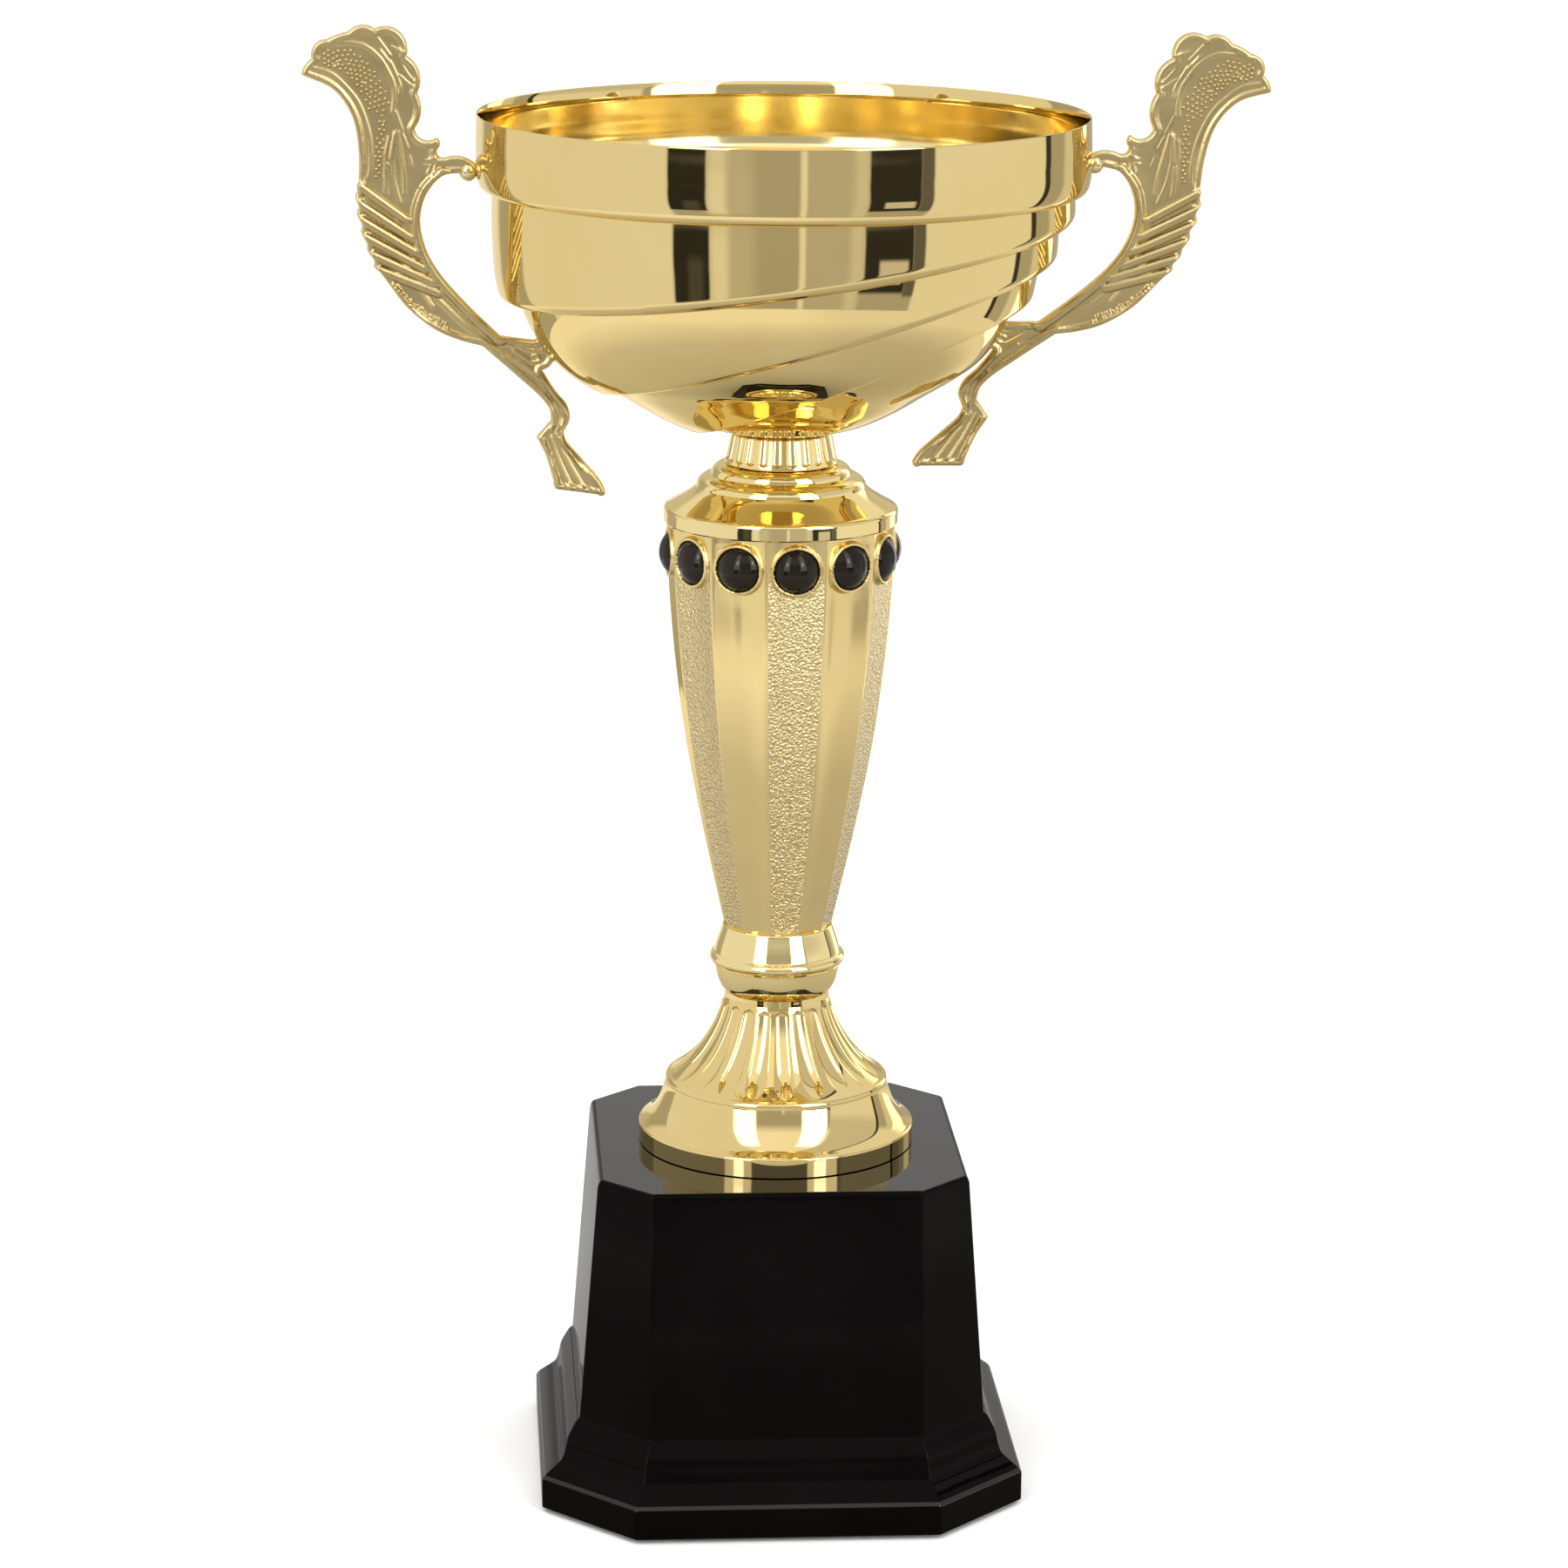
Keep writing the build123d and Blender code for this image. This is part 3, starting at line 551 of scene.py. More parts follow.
def column_radii(heights, radii):
    """Radius of the outside at every height and angle, with its bezels and pockets."""
    panel, local = panel_places(turns(COLUMN_COLUMNS))
    radii = radii[:, None]
    z = np.repeat(heights[:, None], COLUMN_COLUMNS, axis=1)
    flat = radii * math.cos(PITCH / 2) / np.cos(local)
    cap = radii - CORNER_SOFTNESS * radii / 26.0
    softness = 0.10
    r = -softness * np.log(np.exp(-(flat - cap) / softness) + 1) + flat
    across = np.abs(local) / (PITCH / 2)
    below = smoothstep(221.0, 213.0, z) * 0.55 + 0.45 * smoothstep(228.8, 227.5, z)
    hollow = HOLLOW * (radii / 26.0) * np.clip(1 - (across / 0.9) ** 2, 0, 1) * below
    r = r - np.where(panel % 2 == 1, hollow, 0.0)
    distance = np.hypot(r * np.sin(local), z - GEM_HEIGHT)
    rise = smoothstep(BEZEL_RADIUS + 0.18, BEZEL_RADIUS - 0.35, distance)
    well = smoothstep(GEM_RADIUS + 0.28, GEM_RADIUS - 0.05, distance)
    face = (GEM_SEAT + BEZEL_RISE) / np.cos(local)
    r = r + (np.maximum(face, r + 0.2) - r) * rise
    pocket = (GEM_SEAT - POCKET_DEPTH + 0.35) / np.cos(local)
    r = r + (pocket - r) * well
    return np.minimum(r, WIDEST), z


def satin_faces(heights, radii):
    """Which faces of the outside belong to the stippled panels."""
    panel, local = panel_places((np.arange(COLUMN_COLUMNS) + 0.5) / COLUMN_COLUMNS * TURN)
    z = ((heights[1:] + heights[:-1]) / 2)[:, None]
    r = ((radii[1:] + radii[:-1]) / 2)[:, None]
    gap = np.hypot(r * np.sin(local), z - GEM_HEIGHT)
    on_panel = (panel % 2 == 0) & (np.abs(local) < 0.94 * PITCH / 2)
    return on_panel & (gap > BEZEL_RADIUS + 0.2) & (z < GEM_HEIGHT - 2.2) & (z > 133.6)


def make_column():
    corner = smooth_curve(COLUMN_CORNERS, 0.25)
    heights = np.unique(np.concatenate([
        np.arange(KNOP_TOP, 134.4, 0.15), np.arange(134.4, 215.0, 1.0), np.arange(215.0, COLUMN_TOP, 0.16),
        [COLUMN_TOP],
    ]))
    radii = np.interp(heights, corner[:, 1], corner[:, 0])
    outer_r, outer_z = column_radii(heights, radii)
    inner_r, inner_z = around(COLUMN_CORE, COLUMN_COLUMNS)
    r, z = np.vstack([outer_r, inner_r]), np.vstack([outer_z, inner_z])
    vertices = spun(r, z, turns(COLUMN_COLUMNS))
    faces = ring_faces(len(r), COLUMN_COLUMNS, closed_rows=True)
    satin = satin_faces(heights, radii).ravel()
    face_material = np.zeros(len(faces), dtype=np.int32)
    face_material[:len(satin)] = satin
    return build("panelled_column", vertices, faces, [column_gold, satin_gold], face_material, sharp=40.0)


def make_gem(index):
    """Cabochon: girdle, then part of a sphere, closed by its flat back."""
    girdle = 1.0
    rise = GEM_DOME - girdle
    radius = (GEM_RADIUS ** 2 + rise ** 2) / (2 * rise)
    slopes = np.linspace(math.asin(GEM_RADIUS / radius), 0, 26)[:-1]
    dome = np.column_stack([radius * np.sin(slopes), GEM_DOME - radius + radius * np.cos(slopes)])
    profile = joined(np.array([(GEM_RADIUS - 0.3, 0.0), (GEM_RADIUS, 0.15)]), dome)
    columns = 72
    vertices = np.vstack([spun(*around(profile, columns), turns(columns)), (0, 0, GEM_DOME), (0, 0, 0)])
    faces = ring_faces(len(profile), columns)
    top, back = len(vertices) - 2, len(vertices) - 1
    last = (len(profile) - 1) * columns
    for j in range(columns):
        k = (j + 1) % columns
        faces.append((last + j, last + k, top))
        faces.append((k, j, back))
    gem = build(f"cabochon_{index + 1:02d}", vertices, faces, [gem_black], sharp=40.0)
    angle = FIRST_PANEL + PITCH * index
    place = Matrix.Rotation(angle, 4, "Z") @ Matrix.Translation(Vector((GEM_SEAT, 0, GEM_HEIGHT)) * MM)
    place = place @ Matrix.Rotation(math.radians(90), 4, "Y") @ Matrix.Translation((0, 0, -POCKET_DEPTH * MM))
    gem.data.transform(place)
    return gem


# ---- bowl
# Each band of the bowl ends on a tilted plane (height on the axis, rise along X, rise
# along Y) and rolls into a ledge there; the next band starts inside the ledge.
BAND_EDGE = 3.0
WALL = 1.0
RIM_BAND = [(66.0, 300.0), (69.9, 309.0), (70.3, 316.0), (70.1, RIM_HEIGHT)]
FIRST_BAND = [(61.5, 272.0), (64.3, 280.0), (65.9, 286.0), (66.6, 294.0), (66.8, 302.0), (66.4, 312.0)]
SECOND_BAND = [
    (15.0, 253.6), (30.0, 256.3), (43.0, 261.3), (49.6, 265.2), (54.4, 270.0),
    (58.3, 276.0), (61.0, 283.0), (62.4, 289.5), (63.0, 296.0), (62.9, 306.0),
]
THIRD_BAND = [
    (10.0, 249.6), (20.0, 251.4), (28.0, 254.6), (34.5, 258.3), (41.2, 262.5),
    (47.4, 266.6), (52.6, 272.5), (56.3, 280.0), (58.2, 287.0), (58.9, 296.0),
]
FOURTH_BAND = [
    (10.0, 250.6), (20.0, 253.3), (27.2, 256.7), (33.8, 260.7), (40.8, 265.0),
    (46.2, 269.2), (49.9, 274.0), (52.4, 279.5), (53.8, 286.0),
]
BANDS = [RIM_BAND, FIRST_BAND, SECOND_BAND, THIRD_BAND, FOURTH_BAND]
PLANES = [(307.0, 0.0, 0.0), (290.9, 0.144, 0.0), (273.4, 0.285, -0.048), (259.2, 0.395, -0.087)]
BAND_ROWS = [34, 34, 46, 46, 46]
ROLL_ROWS = 12
LEDGE_ROWS = 3


def offset_curve(points, offset):
    """Densely sampled band profile moved along its outward normal."""
    curve = smooth_curve(points, 0.2)
    along = np.gradient(curve, axis=0)
    along /= np.linalg.norm(along, axis=1)[:, None]
    return curve + offset * np.column_stack([along[:, 1], -along[:, 0]])


def crossing(curve, height, slope):
    """Place along a profile where it meets the sloping line z = height + slope * r."""
    gap = curve[:, 1] - height - slope * curve[:, 0]
    i = int(np.argmax(gap > 0))
    share = gap[i - 1] / (gap[i - 1] - gap[i])
    return i - 1 + share


def point_at(curve, place):
    i = int(min(max(place, 0), len(curve) - 1.000001))
    return curve[i] + (curve[i + 1] - curve[i]) * (place - i)


def stretch(curve, high, low, count):
    """Evenly spaced points down a profile between two places along it."""
    places = np.linspace(high, low, count)
    return np.array([point_at(curve, p) for p in places])


def bowl_profile(curves, theta, offset, seat, top):
    """Points of one meridian from the rim down to the flat seat."""
    rows = []
    start = top
    for i, curve in enumerate(curves):
        if i == len(PLANES):
            low = crossing(curve, seat, 0.0)
            rows.append(stretch(curve, start, low, BAND_ROWS[i]))
            break
        height, rise_x, rise_y = PLANES[i]
        slope = rise_x * math.cos(theta) + rise_y * math.sin(theta)
        height -= offset * math.sqrt(1 + rise_x ** 2 + rise_y ** 2)
        place = crossing(curve, height, slope)
        corner = point_at(curve, place)
        step = point_at(curve, place + 0.5) - point_at(curve, place - 0.5)
        down = -step / np.linalg.norm(step)
        inward = np.array([-1.0, -slope]) / math.hypot(1.0, slope)
        turn = math.acos(float(np.clip(down @ inward, -1, 1)))
        next_place = crossing(curves[i + 1], height, slope)
        landing = point_at(curves[i + 1], next_place)
        radius = BAND_EDGE + offset
        length = min(radius * math.tan(turn / 2), 0.85 * float(np.linalg.norm(landing - corner)))
        radius = length / math.tan(turn / 2)
        spacing = float(np.linalg.norm(step))
        leave = place + length / spacing
        begin = point_at(curve, leave)
        begin_step = point_at(curve, leave - 0.5) - point_at(curve, leave + 0.5)
        begin_down = begin_step / np.linalg.norm(begin_step)
        end = corner + inward * length
        handle = 4 / 3 * math.tan(turn / 4) * radius
        t = np.linspace(0, 1, ROLL_ROWS + 2)[1:-1, None]
        pull_a = begin + begin_down * handle
        pull_b = end - inward * handle
        roll = (1 - t) ** 3 * begin + 3 * (1 - t) ** 2 * t * pull_a + 3 * (1 - t) * t ** 2 * pull_b + t ** 3 * end
        rows.append(stretch(curve, start, leave, BAND_ROWS[i]))
        rows.append(roll)
        shares = np.linspace(0, 1, LEDGE_ROWS + 1)[:-1, None]
        rows.append(end + (landing - end) * shares)
        start = next_place
    return np.vstack(rows)


def bowl_surface(offset, seat, top_height, columns):
    curves = [offset_curve(points, offset) for points in BANDS]
    top = crossing(curves[0], top_height, 0.0) if top_height < RIM_HEIGHT - 0.05 else len(curves[0]) - 1.0
    meridians = [bowl_profile(curves, TURN * j / columns, offset, seat, top) for j in range(columns)]
    return np.array(meridians)


BOWL_COLUMNS = 540
LIP = [
    (70.1, 324.0), (70.02, 324.14), (69.9, RIM_HEIGHT), (69.78, 324.14), (69.68, 324.0),
    (69.45, 322.9), (69.28, 321.6),
]


def make_bowl():
    outer = bowl_surface(0.0, BOWL_SEAT, RIM_HEIGHT - 0.35, BOWL_COLUMNS)[:, ::-1]
    inner = bowl_surface(-WALL, BOWL_SEAT + WALL, 320.4, BOWL_COLUMNS)
    seat_edge, floor_edge = [(ROD_HOLE, BOWL_SEAT)], [(ROD_HOLE, BOWL_SEAT + WALL)]
    loops = np.array([
        np.vstack([seat_edge, outside, LIP, inside, floor_edge]) for outside, inside in zip(outer, inner)
    ])
    vertices = spun(loops[:, :, 0].T, loops[:, :, 1].T, turns(BOWL_COLUMNS))
    faces = ring_faces(loops.shape[1], BOWL_COLUMNS, closed_rows=True)
    first_inside = len(seat_edge) + outer.shape[1] + len(LIP)
    # The inside faces take the lighter gold, which is painted light.
    face_material = (np.arange(len(faces)) // BOWL_COLUMNS >= first_inside).astype(np.int32)
    return build("ledged_bowl", vertices, faces, [bowl_gold, inside_gold_painted_light], face_material, sharp=30.0)


# ---- handles
# Outline and relief in the casting's own plane: first number away from the bowl,
# second number up, from where the upper peg meets the outside of the rim band.
LEFT_ORIGIN = (-69.9, 311.4)
RIGHT_ORIGIN = (69.6, 313.4)
RIGHT_TURN = math.radians(7.9)
INNER_EDGE = [
    (3.8, -0.8), (7.6, -1.4), (11.2, -5.2), (12.9, -11.1), (11.8, -17.8),
    (8.8, -23.5), (2.3, -31.0), (-5.1, -38.2),
]
# Each piece of the outline starts where the last one ended. In order: lobes of the
# head, finger gap, tab, leg, fan foot, hock, leg, belly, flank with its rib ends, outer edge.
OUTLINE_START = (39.5, 21.4)
OUTLINE = [
    ("arc", (38.7, 23.4), (37.1, 24.9)), ("arc", (36.5, 28.0), (33.6, 29.3)), ("arc", (31.3, 30.4), (28.9, 31.0)),
    ("arc", (26.3, 32.5), (22.9, 31.7)), ("arc", (18.0, 31.6), (15.7, 25.6)), ("arc", (12.8, 21.9), (13.4, 17.3)),
    ("arc", (12.5, 13.6), (14.0, 9.3)), ("arc", (12.2, 6.7), (9.2, 7.2)), ("arc", (8.4, 6.3), (8.9, 4.6)),
    ("arc", (8.7, 3.0), (7.4, 2.6)), ("arc", (4.4, 3.0), (1.2, 1.9)), ("arc", (-0.1, -0.4), (1.4, -2.6)),
    ("arc", (2.9, -2.3), (3.8, -0.8)),
    ("curve", *INNER_EDGE[1:]),
    ("line", (-12.5, -39.2)), ("arc", (-17.6, -42.0), (-14.6, -46.0)),
    ("curve", (-17.6, -50.8), (-20.4, -54.3), (-21.1, -57.2), (-19.6, -60.3)),
    ("curve", (-20.2, -62.4), (-24.2, -67.3), (-28.2, -72.1), (-29.2, -74.2)),
    ("arc", (-28.8, -75.3), (-27.4, -75.1)), ("line", (-18.6, -73.9)), ("arc", (-17.5, -73.5), (-17.2, -72.2)),
    ("curve", (-15.6, -66.5), (-13.3, -61.6)), ("line", (-16.6, -57.9)),
    ("curve", (-16.3, -55.3), (-14.5, -52.6), (-9.0, -47.5), (-0.9, -40.4)),
    ("curve", (3.5, -39.3), (9.5, -36.8), (16.0, -31.7), (20.4, -26.0), (22.3, -23.4)),
    (
        "curve", (23.6, -22.2), (23.5, -20.9), (25.1, -18.4), (25.1, -17.1), (26.5, -14.1), (26.2, -12.8),
        (27.4, -10.0), (26.9, -8.7), (27.7, -6.2), (27.2, -4.9), (27.3, -3.6), (26.9, -2.9),
    ),
    ("curve", (26.8, 4.1), (28.2, 12.1), (32.4, 18.1), (39.5, 21.4)),
]

# Relief lines: (points, height, half width), raised when the height is positive.
BORDER_RIDGE = [
    (36.5, 22.9), (32.6, 21.6), (29.2, 18.5), (26.9, 15.5), (25.3, 11.7),
    (24.3, 7.8), (24.0, 3.9), (24.2, 0.0), (25.0, -3.0),
]
INNER_RIDGE = [
    (32.5, 28.2), (28.4, 28.6), (25.1, 27.9), (21.9, 25.4), (20.0, 22.4), (18.7, 19.4), (18.5, 16.6), (18.9, 13.0),
]
BEAD_SPINE = [
    (35.2, 25.6), (31.4, 25.6), (27.6, 23.6), (24.4, 19.8), (22.4, 15.6), (21.4, 11.0),
    (21.9, 6.0), (22.6, 1.0), (23.0, -2.6),
]
PIT_SPINE = [(18.6, -27.2), (14.6, -30.6), (11.4, -33.2), (7.4, -35.4)]
LINES = [
    (BORDER_RIDGE, 0.34, 0.42),
    (INNER_RIDGE, 0.36, 0.42),
    # strokes of the head and the leaf under it
    ([(22.9, 30.7), (21.3, 28.5), (19.5, 26.0)], 0.28, 0.28),
    ([(19.1, 27.8), (17.7, 27.2), (16.2, 26.5)], 0.26, 0.26),
    ([(19.4, 24.4), (18.0, 21.3), (17.2, 18.9), (17.4, 17.2)], 0.30, 0.30),
    ([(16.6, 23.5), (15.6, 21.9), (14.2, 20.0)], 0.26, 0.26),
    ([(17.2, 21.3), (15.8, 20.0), (14.5, 18.9)], 0.26, 0.26),
    ([(21.6, 27.1), (20.5, 25.7), (19.7, 24.4)], 0.28, 0.26),
    ([(18.4, 8.4), (19.0, 5.4), (19.4, 2.6)], 0.42, 0.40),
    ([(17.8, 8.8), (17.1, 3.4), (16.6, -0.8), (16.5, -5.2)], 0.34, 0.30),
    ([(20.1, 1.4), (20.4, -2.2), (20.5, -5.2)], 0.30, 0.28),
    ([(19.8, 7.4), (20.5, 4.2), (20.8, 0.6), (21.0, -5.0)], 0.34, 0.28),
    ([(19.1, 1.7), (18.8, -2.2), (17.5, -7.2)], 0.28, 0.28),
    ([(21.3, 3.1), (21.5, -1.1), (21.8, -5.4)], -0.60, 0.22),
    ([(11.4, 2.1), (9.1, 2.6), (9.9, -0.9)], 0.28, 0.26),
    ([(11.8, 1.2), (10.6, 1.0), (11.1, -0.6)], 0.24, 0.22),
    ([(16.8, 8.1), (16.2, 6.7), (15.7, 5.2)], 0.24, 0.26),
    ([(15.2, 3.0), (14.7, 0.8)], 0.20, 0.22),
    ([(18.2, 13.0), (17.4, 10.6), (16.8, 9.0)], 0.22, 0.28),
    # rail down the leg, and the strokes beside it
    ([
        (9.2, -29.6), (5.2, -33.5), (1.1, -37.2), (-6.0, -42.0), (-11.0, -45.1),
        (-14.6, -47.9), (-18.3, -52.9), (-19.4, -56.5), (-18.4, -60.5),
    ], 0.50, 0.50),
    ([(4.8, -32.6), (-2.9, -39.3), (-9.0, -43.6)], -0.30, 0.24),
    ([(-15.2, -51.4), (-17.4, -56.5), (-16.8, -59.6)], 0.26, 0.30),
    ([(12.9, -27.4), (11.7, -29.2), (10.5, -31.0)], 0.45, 0.38),
    ([(21.0, -24.8), (16.6, -30.4), (10.4, -35.3), (3.2, -38.3)], 0.34, 0.40),
    # tab
    ([(-7.4, -39.8), (-11.1, -41.2), (-14.6, -41.5)], 0.30, 0.30),
    ([(-8.0, -40.9), (-11.0, -43.2), (-12.4, -44.0), (-14.0, -43.6), (-13.6, -42.4), (-12.6, -42.5)], 0.42, 0.32),
    # fan foot
    ([(-15.1, -61.9), (-16.1, -66.4), (-18.6, -73.1)], 0.55, 0.42),
    ([(-16.5, -61.5), (-18.1, -66.4), (-21.3, -73.4)], 0.55, 0.42),
    ([(-17.7, -61.5), (-20.6, -67.4), (-24.3, -73.9)], 0.55, 0.42),
    ([(-18.8, -61.7), (-23.0, -67.9), (-27.2, -74.0)], 0.55, 0.42),
]
RIBS = [
    ((27.0, -3.4), (16.3, -11.2)), ((27.2, -7.4), (15.2, -15.4)), ((26.4, -11.4), (13.8, -19.0)),
    ((25.4, -15.4), (11.9, -22.7)), ((23.7, -19.5), (9.8, -25.9)), ((22.3, -22.9), (9.0, -28.2)),
]
LINE_SCALE = 0.75            # share of the stated heights that the worn relief lines keep
RIB_RADIUS = 1.2
RIB_HEIGHT = 1.0
RAIL_WIDTH = 2.3
RAIL_HEIGHT = 0.95
FIELD = 1.35                 # half thickness of the plain field
EDGE = 1.0                   # half thickness at the very edge
BORDER = 0.42                # how far the smooth border stands above the field
THICKEST = 2.38
BEAD_SPACING = 1.18
BEAD_SIZE, BEAD_RISE = 0.46, 0.34
PIT_SIZE, PIT_RISE = 0.42, 0.26
POLISHED_HIGHLIGHT_EDGE = 0.34         # width of the polished edge, drawn in a lighter gold as a painted highlight
OUTLINE_STEP = 0.38
GRID_STEP = 0.40
FAR = 1e9


def handle_outline(step):
    """Closed outline of the casting with its points evenly spaced."""
    start, pieces = OUTLINE_START, []
    for kind, *points in OUTLINE:
        fineness = max(4, int(3 * math.dist(start, points[-1]) / step)) if kind == "arc" else step
        pieces.append((kind, fineness, *points))
        start = points[-1]
    loop = traced(OUTLINE_START, *pieces)[:-1]
    closed = np.vstack([loop, loop[:1]])
    length = np.concatenate([[0], np.cumsum(np.linalg.norm(np.diff(closed, axis=0), axis=1))])
    count = int(length[-1] / step)
    places = np.arange(count) / count * length[-1]
    return np.column_stack([np.interp(places, length, closed[:, k]) for k in (0, 1)])


def distance_to(points, line):
    """Distance of each point from a line of straight pieces."""
    line = np.asarray(line, dtype=float)
    best = np.full(len(points), FAR)
    for a, b in zip(line, line[1:]):
        along = b - a
        share = np.clip(((points - a) @ along) / max(along @ along, 1e-12), 0, 1)
        best = np.minimum(best, np.linalg.norm(points - a - share[:, None] * along, axis=1))
    return best


def distance_to_spots(points, centres):
    """Distance of each point from the nearest centre."""
    near = np.full(len(points), FAR)
    for centre in centres:
        near = np.minimum(near, np.hypot(points[:, 0] - centre[0], points[:, 1] - centre[1]))
    return near


def is_inside(points, loop):
    inside = np.zeros(len(points), dtype=bool)
    x, y = points[:, 0], points[:, 1]
    for (x0, y0), (x1, y1) in zip(loop, np.roll(loop, -1, axis=0)):
        if y0 != y1:
            inside ^= ((y0 > y) != (y1 > y)) & (x < (x1 - x0) * (y - y0) / (y1 - y0) + x0)
    return inside


def bead_centres():
    """Rows of small beads that fill the curved band between the two ridges."""
    outer = smooth_curve(BORDER_RIDGE, 0.2)
    spine = smooth_curve(BEAD_SPINE, BEAD_SPACING)
    centres = []
    for i, point in enumerate(spine[1:-1], start=1):
        along = spine[i + 1] - spine[i - 1]
        along /= np.linalg.norm(along)
        normal = np.array([-along[1], along[0]])
        shift = 0.5 if i % 2 else 0.0
        limit = 2.5 if point[1] > 14.0 else 0.9
        for row in range(-3, 4):
            centre = point + normal * (row + shift) * BEAD_SPACING
            to_ridge = min(distance_to(centre[None], ridge)[0] for ridge in (outer, INNER_RIDGE))
            if to_ridge >= 0.95 and distance_to(centre[None], spine)[0] <= limit:
                centres.append(centre + RNG.normal(0, 0.10, 2))
    return np.array(centres)


def belly_pits():
    """Loose stipple on the lower leaf."""
    spots = []
    for point in smooth_curve(PIT_SPINE, 0.9):
        for row in (-0.9, 0.0, 0.9):
            spots.append(point + RNG.normal(0, 0.14, 2) + (row * 0.5, row * 0.8))
    return np.array(spots)


def relief_curve(line):
    return smooth_curve(line, 0.6) if len(line) > 2 else np.asarray(line)


def relief(points, edge_gap, beads, pits):
    """Half thickness of the casting at each point of its plane."""
    height = np.full(len(points), FIELD)
    height += BORDER * smoothstep(1.75, 1.15, edge_gap)
    for line, rise, width in LINES:
        gap = distance_to(points, relief_curve(line))
        height += LINE_SCALE * rise * np.exp(-(gap / width) ** 2)
    gap = distance_to(points, relief_curve(INNER_EDGE[1:]))
    slope = RAIL_WIDTH - 0.8, RAIL_WIDTH
    rail = (FIELD + RAIL_HEIGHT) * smoothstep(*slope[::-1], gap) + FIELD * smoothstep(*slope, gap)
    height = np.maximum(height, rail)
    for rib in RIBS:
        dome = np.sqrt(np.clip(1 - (distance_to(points, rib) / RIB_RADIUS) ** 2, 0, 1))
        height = np.maximum(height, FIELD - 0.1 + (RIB_HEIGHT + 0.1) * dome)
    for centres, size, rise in ((beads, BEAD_SIZE, BEAD_RISE), (pits, PIT_SIZE, PIT_RISE)):
        near = distance_to_spots(points, centres)
        height += rise * np.sqrt(np.clip(1 - (near / size) ** 2, 0, 1))
    bevel = np.clip(edge_gap / 0.75, 0, 1)
    rounded = EDGE + (height - EDGE) * np.sqrt(1 - (1 - bevel) ** 2)
    return np.minimum(np.minimum(height, rounded), THICKEST)


def push_out(plane_points, side):
    """Keeps the casting's end clear of the bowl's wall on its side."""
    theta, sign = (math.pi, -1.0) if side == "left" else (0.0, 1.0)
    curves = [offset_curve(points, 0.0) for points in BANDS]
    profile = bowl_profile(curves, theta, 0.0, BOWL_SEAT, len(curves[0]) - 1.0)[::-1]
    profile = profile[np.argsort(profile[:, 1], kind="stable")]
    x, z = plane_points.T
    wall = np.interp(z, profile[:, 1], profile[:, 0]) + 0.1
    reach = np.abs(x)
    high = (z > BOWL_SEAT) & (z < RIM_HEIGHT)
    return np.column_stack([sign * np.where(high & (reach < wall), wall, reach), z])


def to_plane(points, side):
    """Casting coordinates to the trophy's X and Z."""
    if side == "left":
        return np.column_stack([LEFT_ORIGIN[0] - points[:, 0], LEFT_ORIGIN[1] + points[:, 1]])
    cosine, sine = math.cos(RIGHT_TURN), math.sin(RIGHT_TURN)
    x = points[:, 0] * cosine + points[:, 1] * sine
    z = -points[:, 0] * sine + points[:, 1] * cosine
    return np.column_stack([RIGHT_ORIGIN[0] + x, RIGHT_ORIGIN[1] + z])


def beside(line, offsets, step):
    """Points in rows that run along a line at the given distances to its sides."""
    curve = smooth_curve(line, step) if len(line) > 2 else straight(line, step)
    along = np.gradient(curve, axis=0)
    along /= np.linalg.norm(along, axis=1)[:, None]
    across = np.column_stack([-along[:, 1], along[:, 0]])
    return np.vstack([curve + across * offset for offset in offsets])


def thinned(points, spacing):
    """At most one point in each cell of a square grid."""
    cells = np.round(points / spacing).astype(int)
    _, first = np.unique(cells, axis=0, return_index=True)
    return points[np.sort(first)]


def border_points(loop):
    """Rings of points along the inside of the outline."""
    tangent = np.roll(loop, -1, axis=0) - np.roll(loop, 1, axis=0)
    tangent /= np.linalg.norm(tangent, axis=1)[:, None]
    normal = np.column_stack([-tangent[:, 1], tangent[:, 0]])
    if not is_inside(loop[:1] + normal[:1] * 0.2, loop)[0]:
        normal = -normal
    closed = np.vstack([loop, loop[:1]])
    rings = []
    for depth in (0.09, 0.22, 0.42, 0.7, 1.0):
        ring = loop + normal * depth
        rings.append(ring[distance_to(ring, closed) > depth * 0.93])
    return np.vstack(rings)


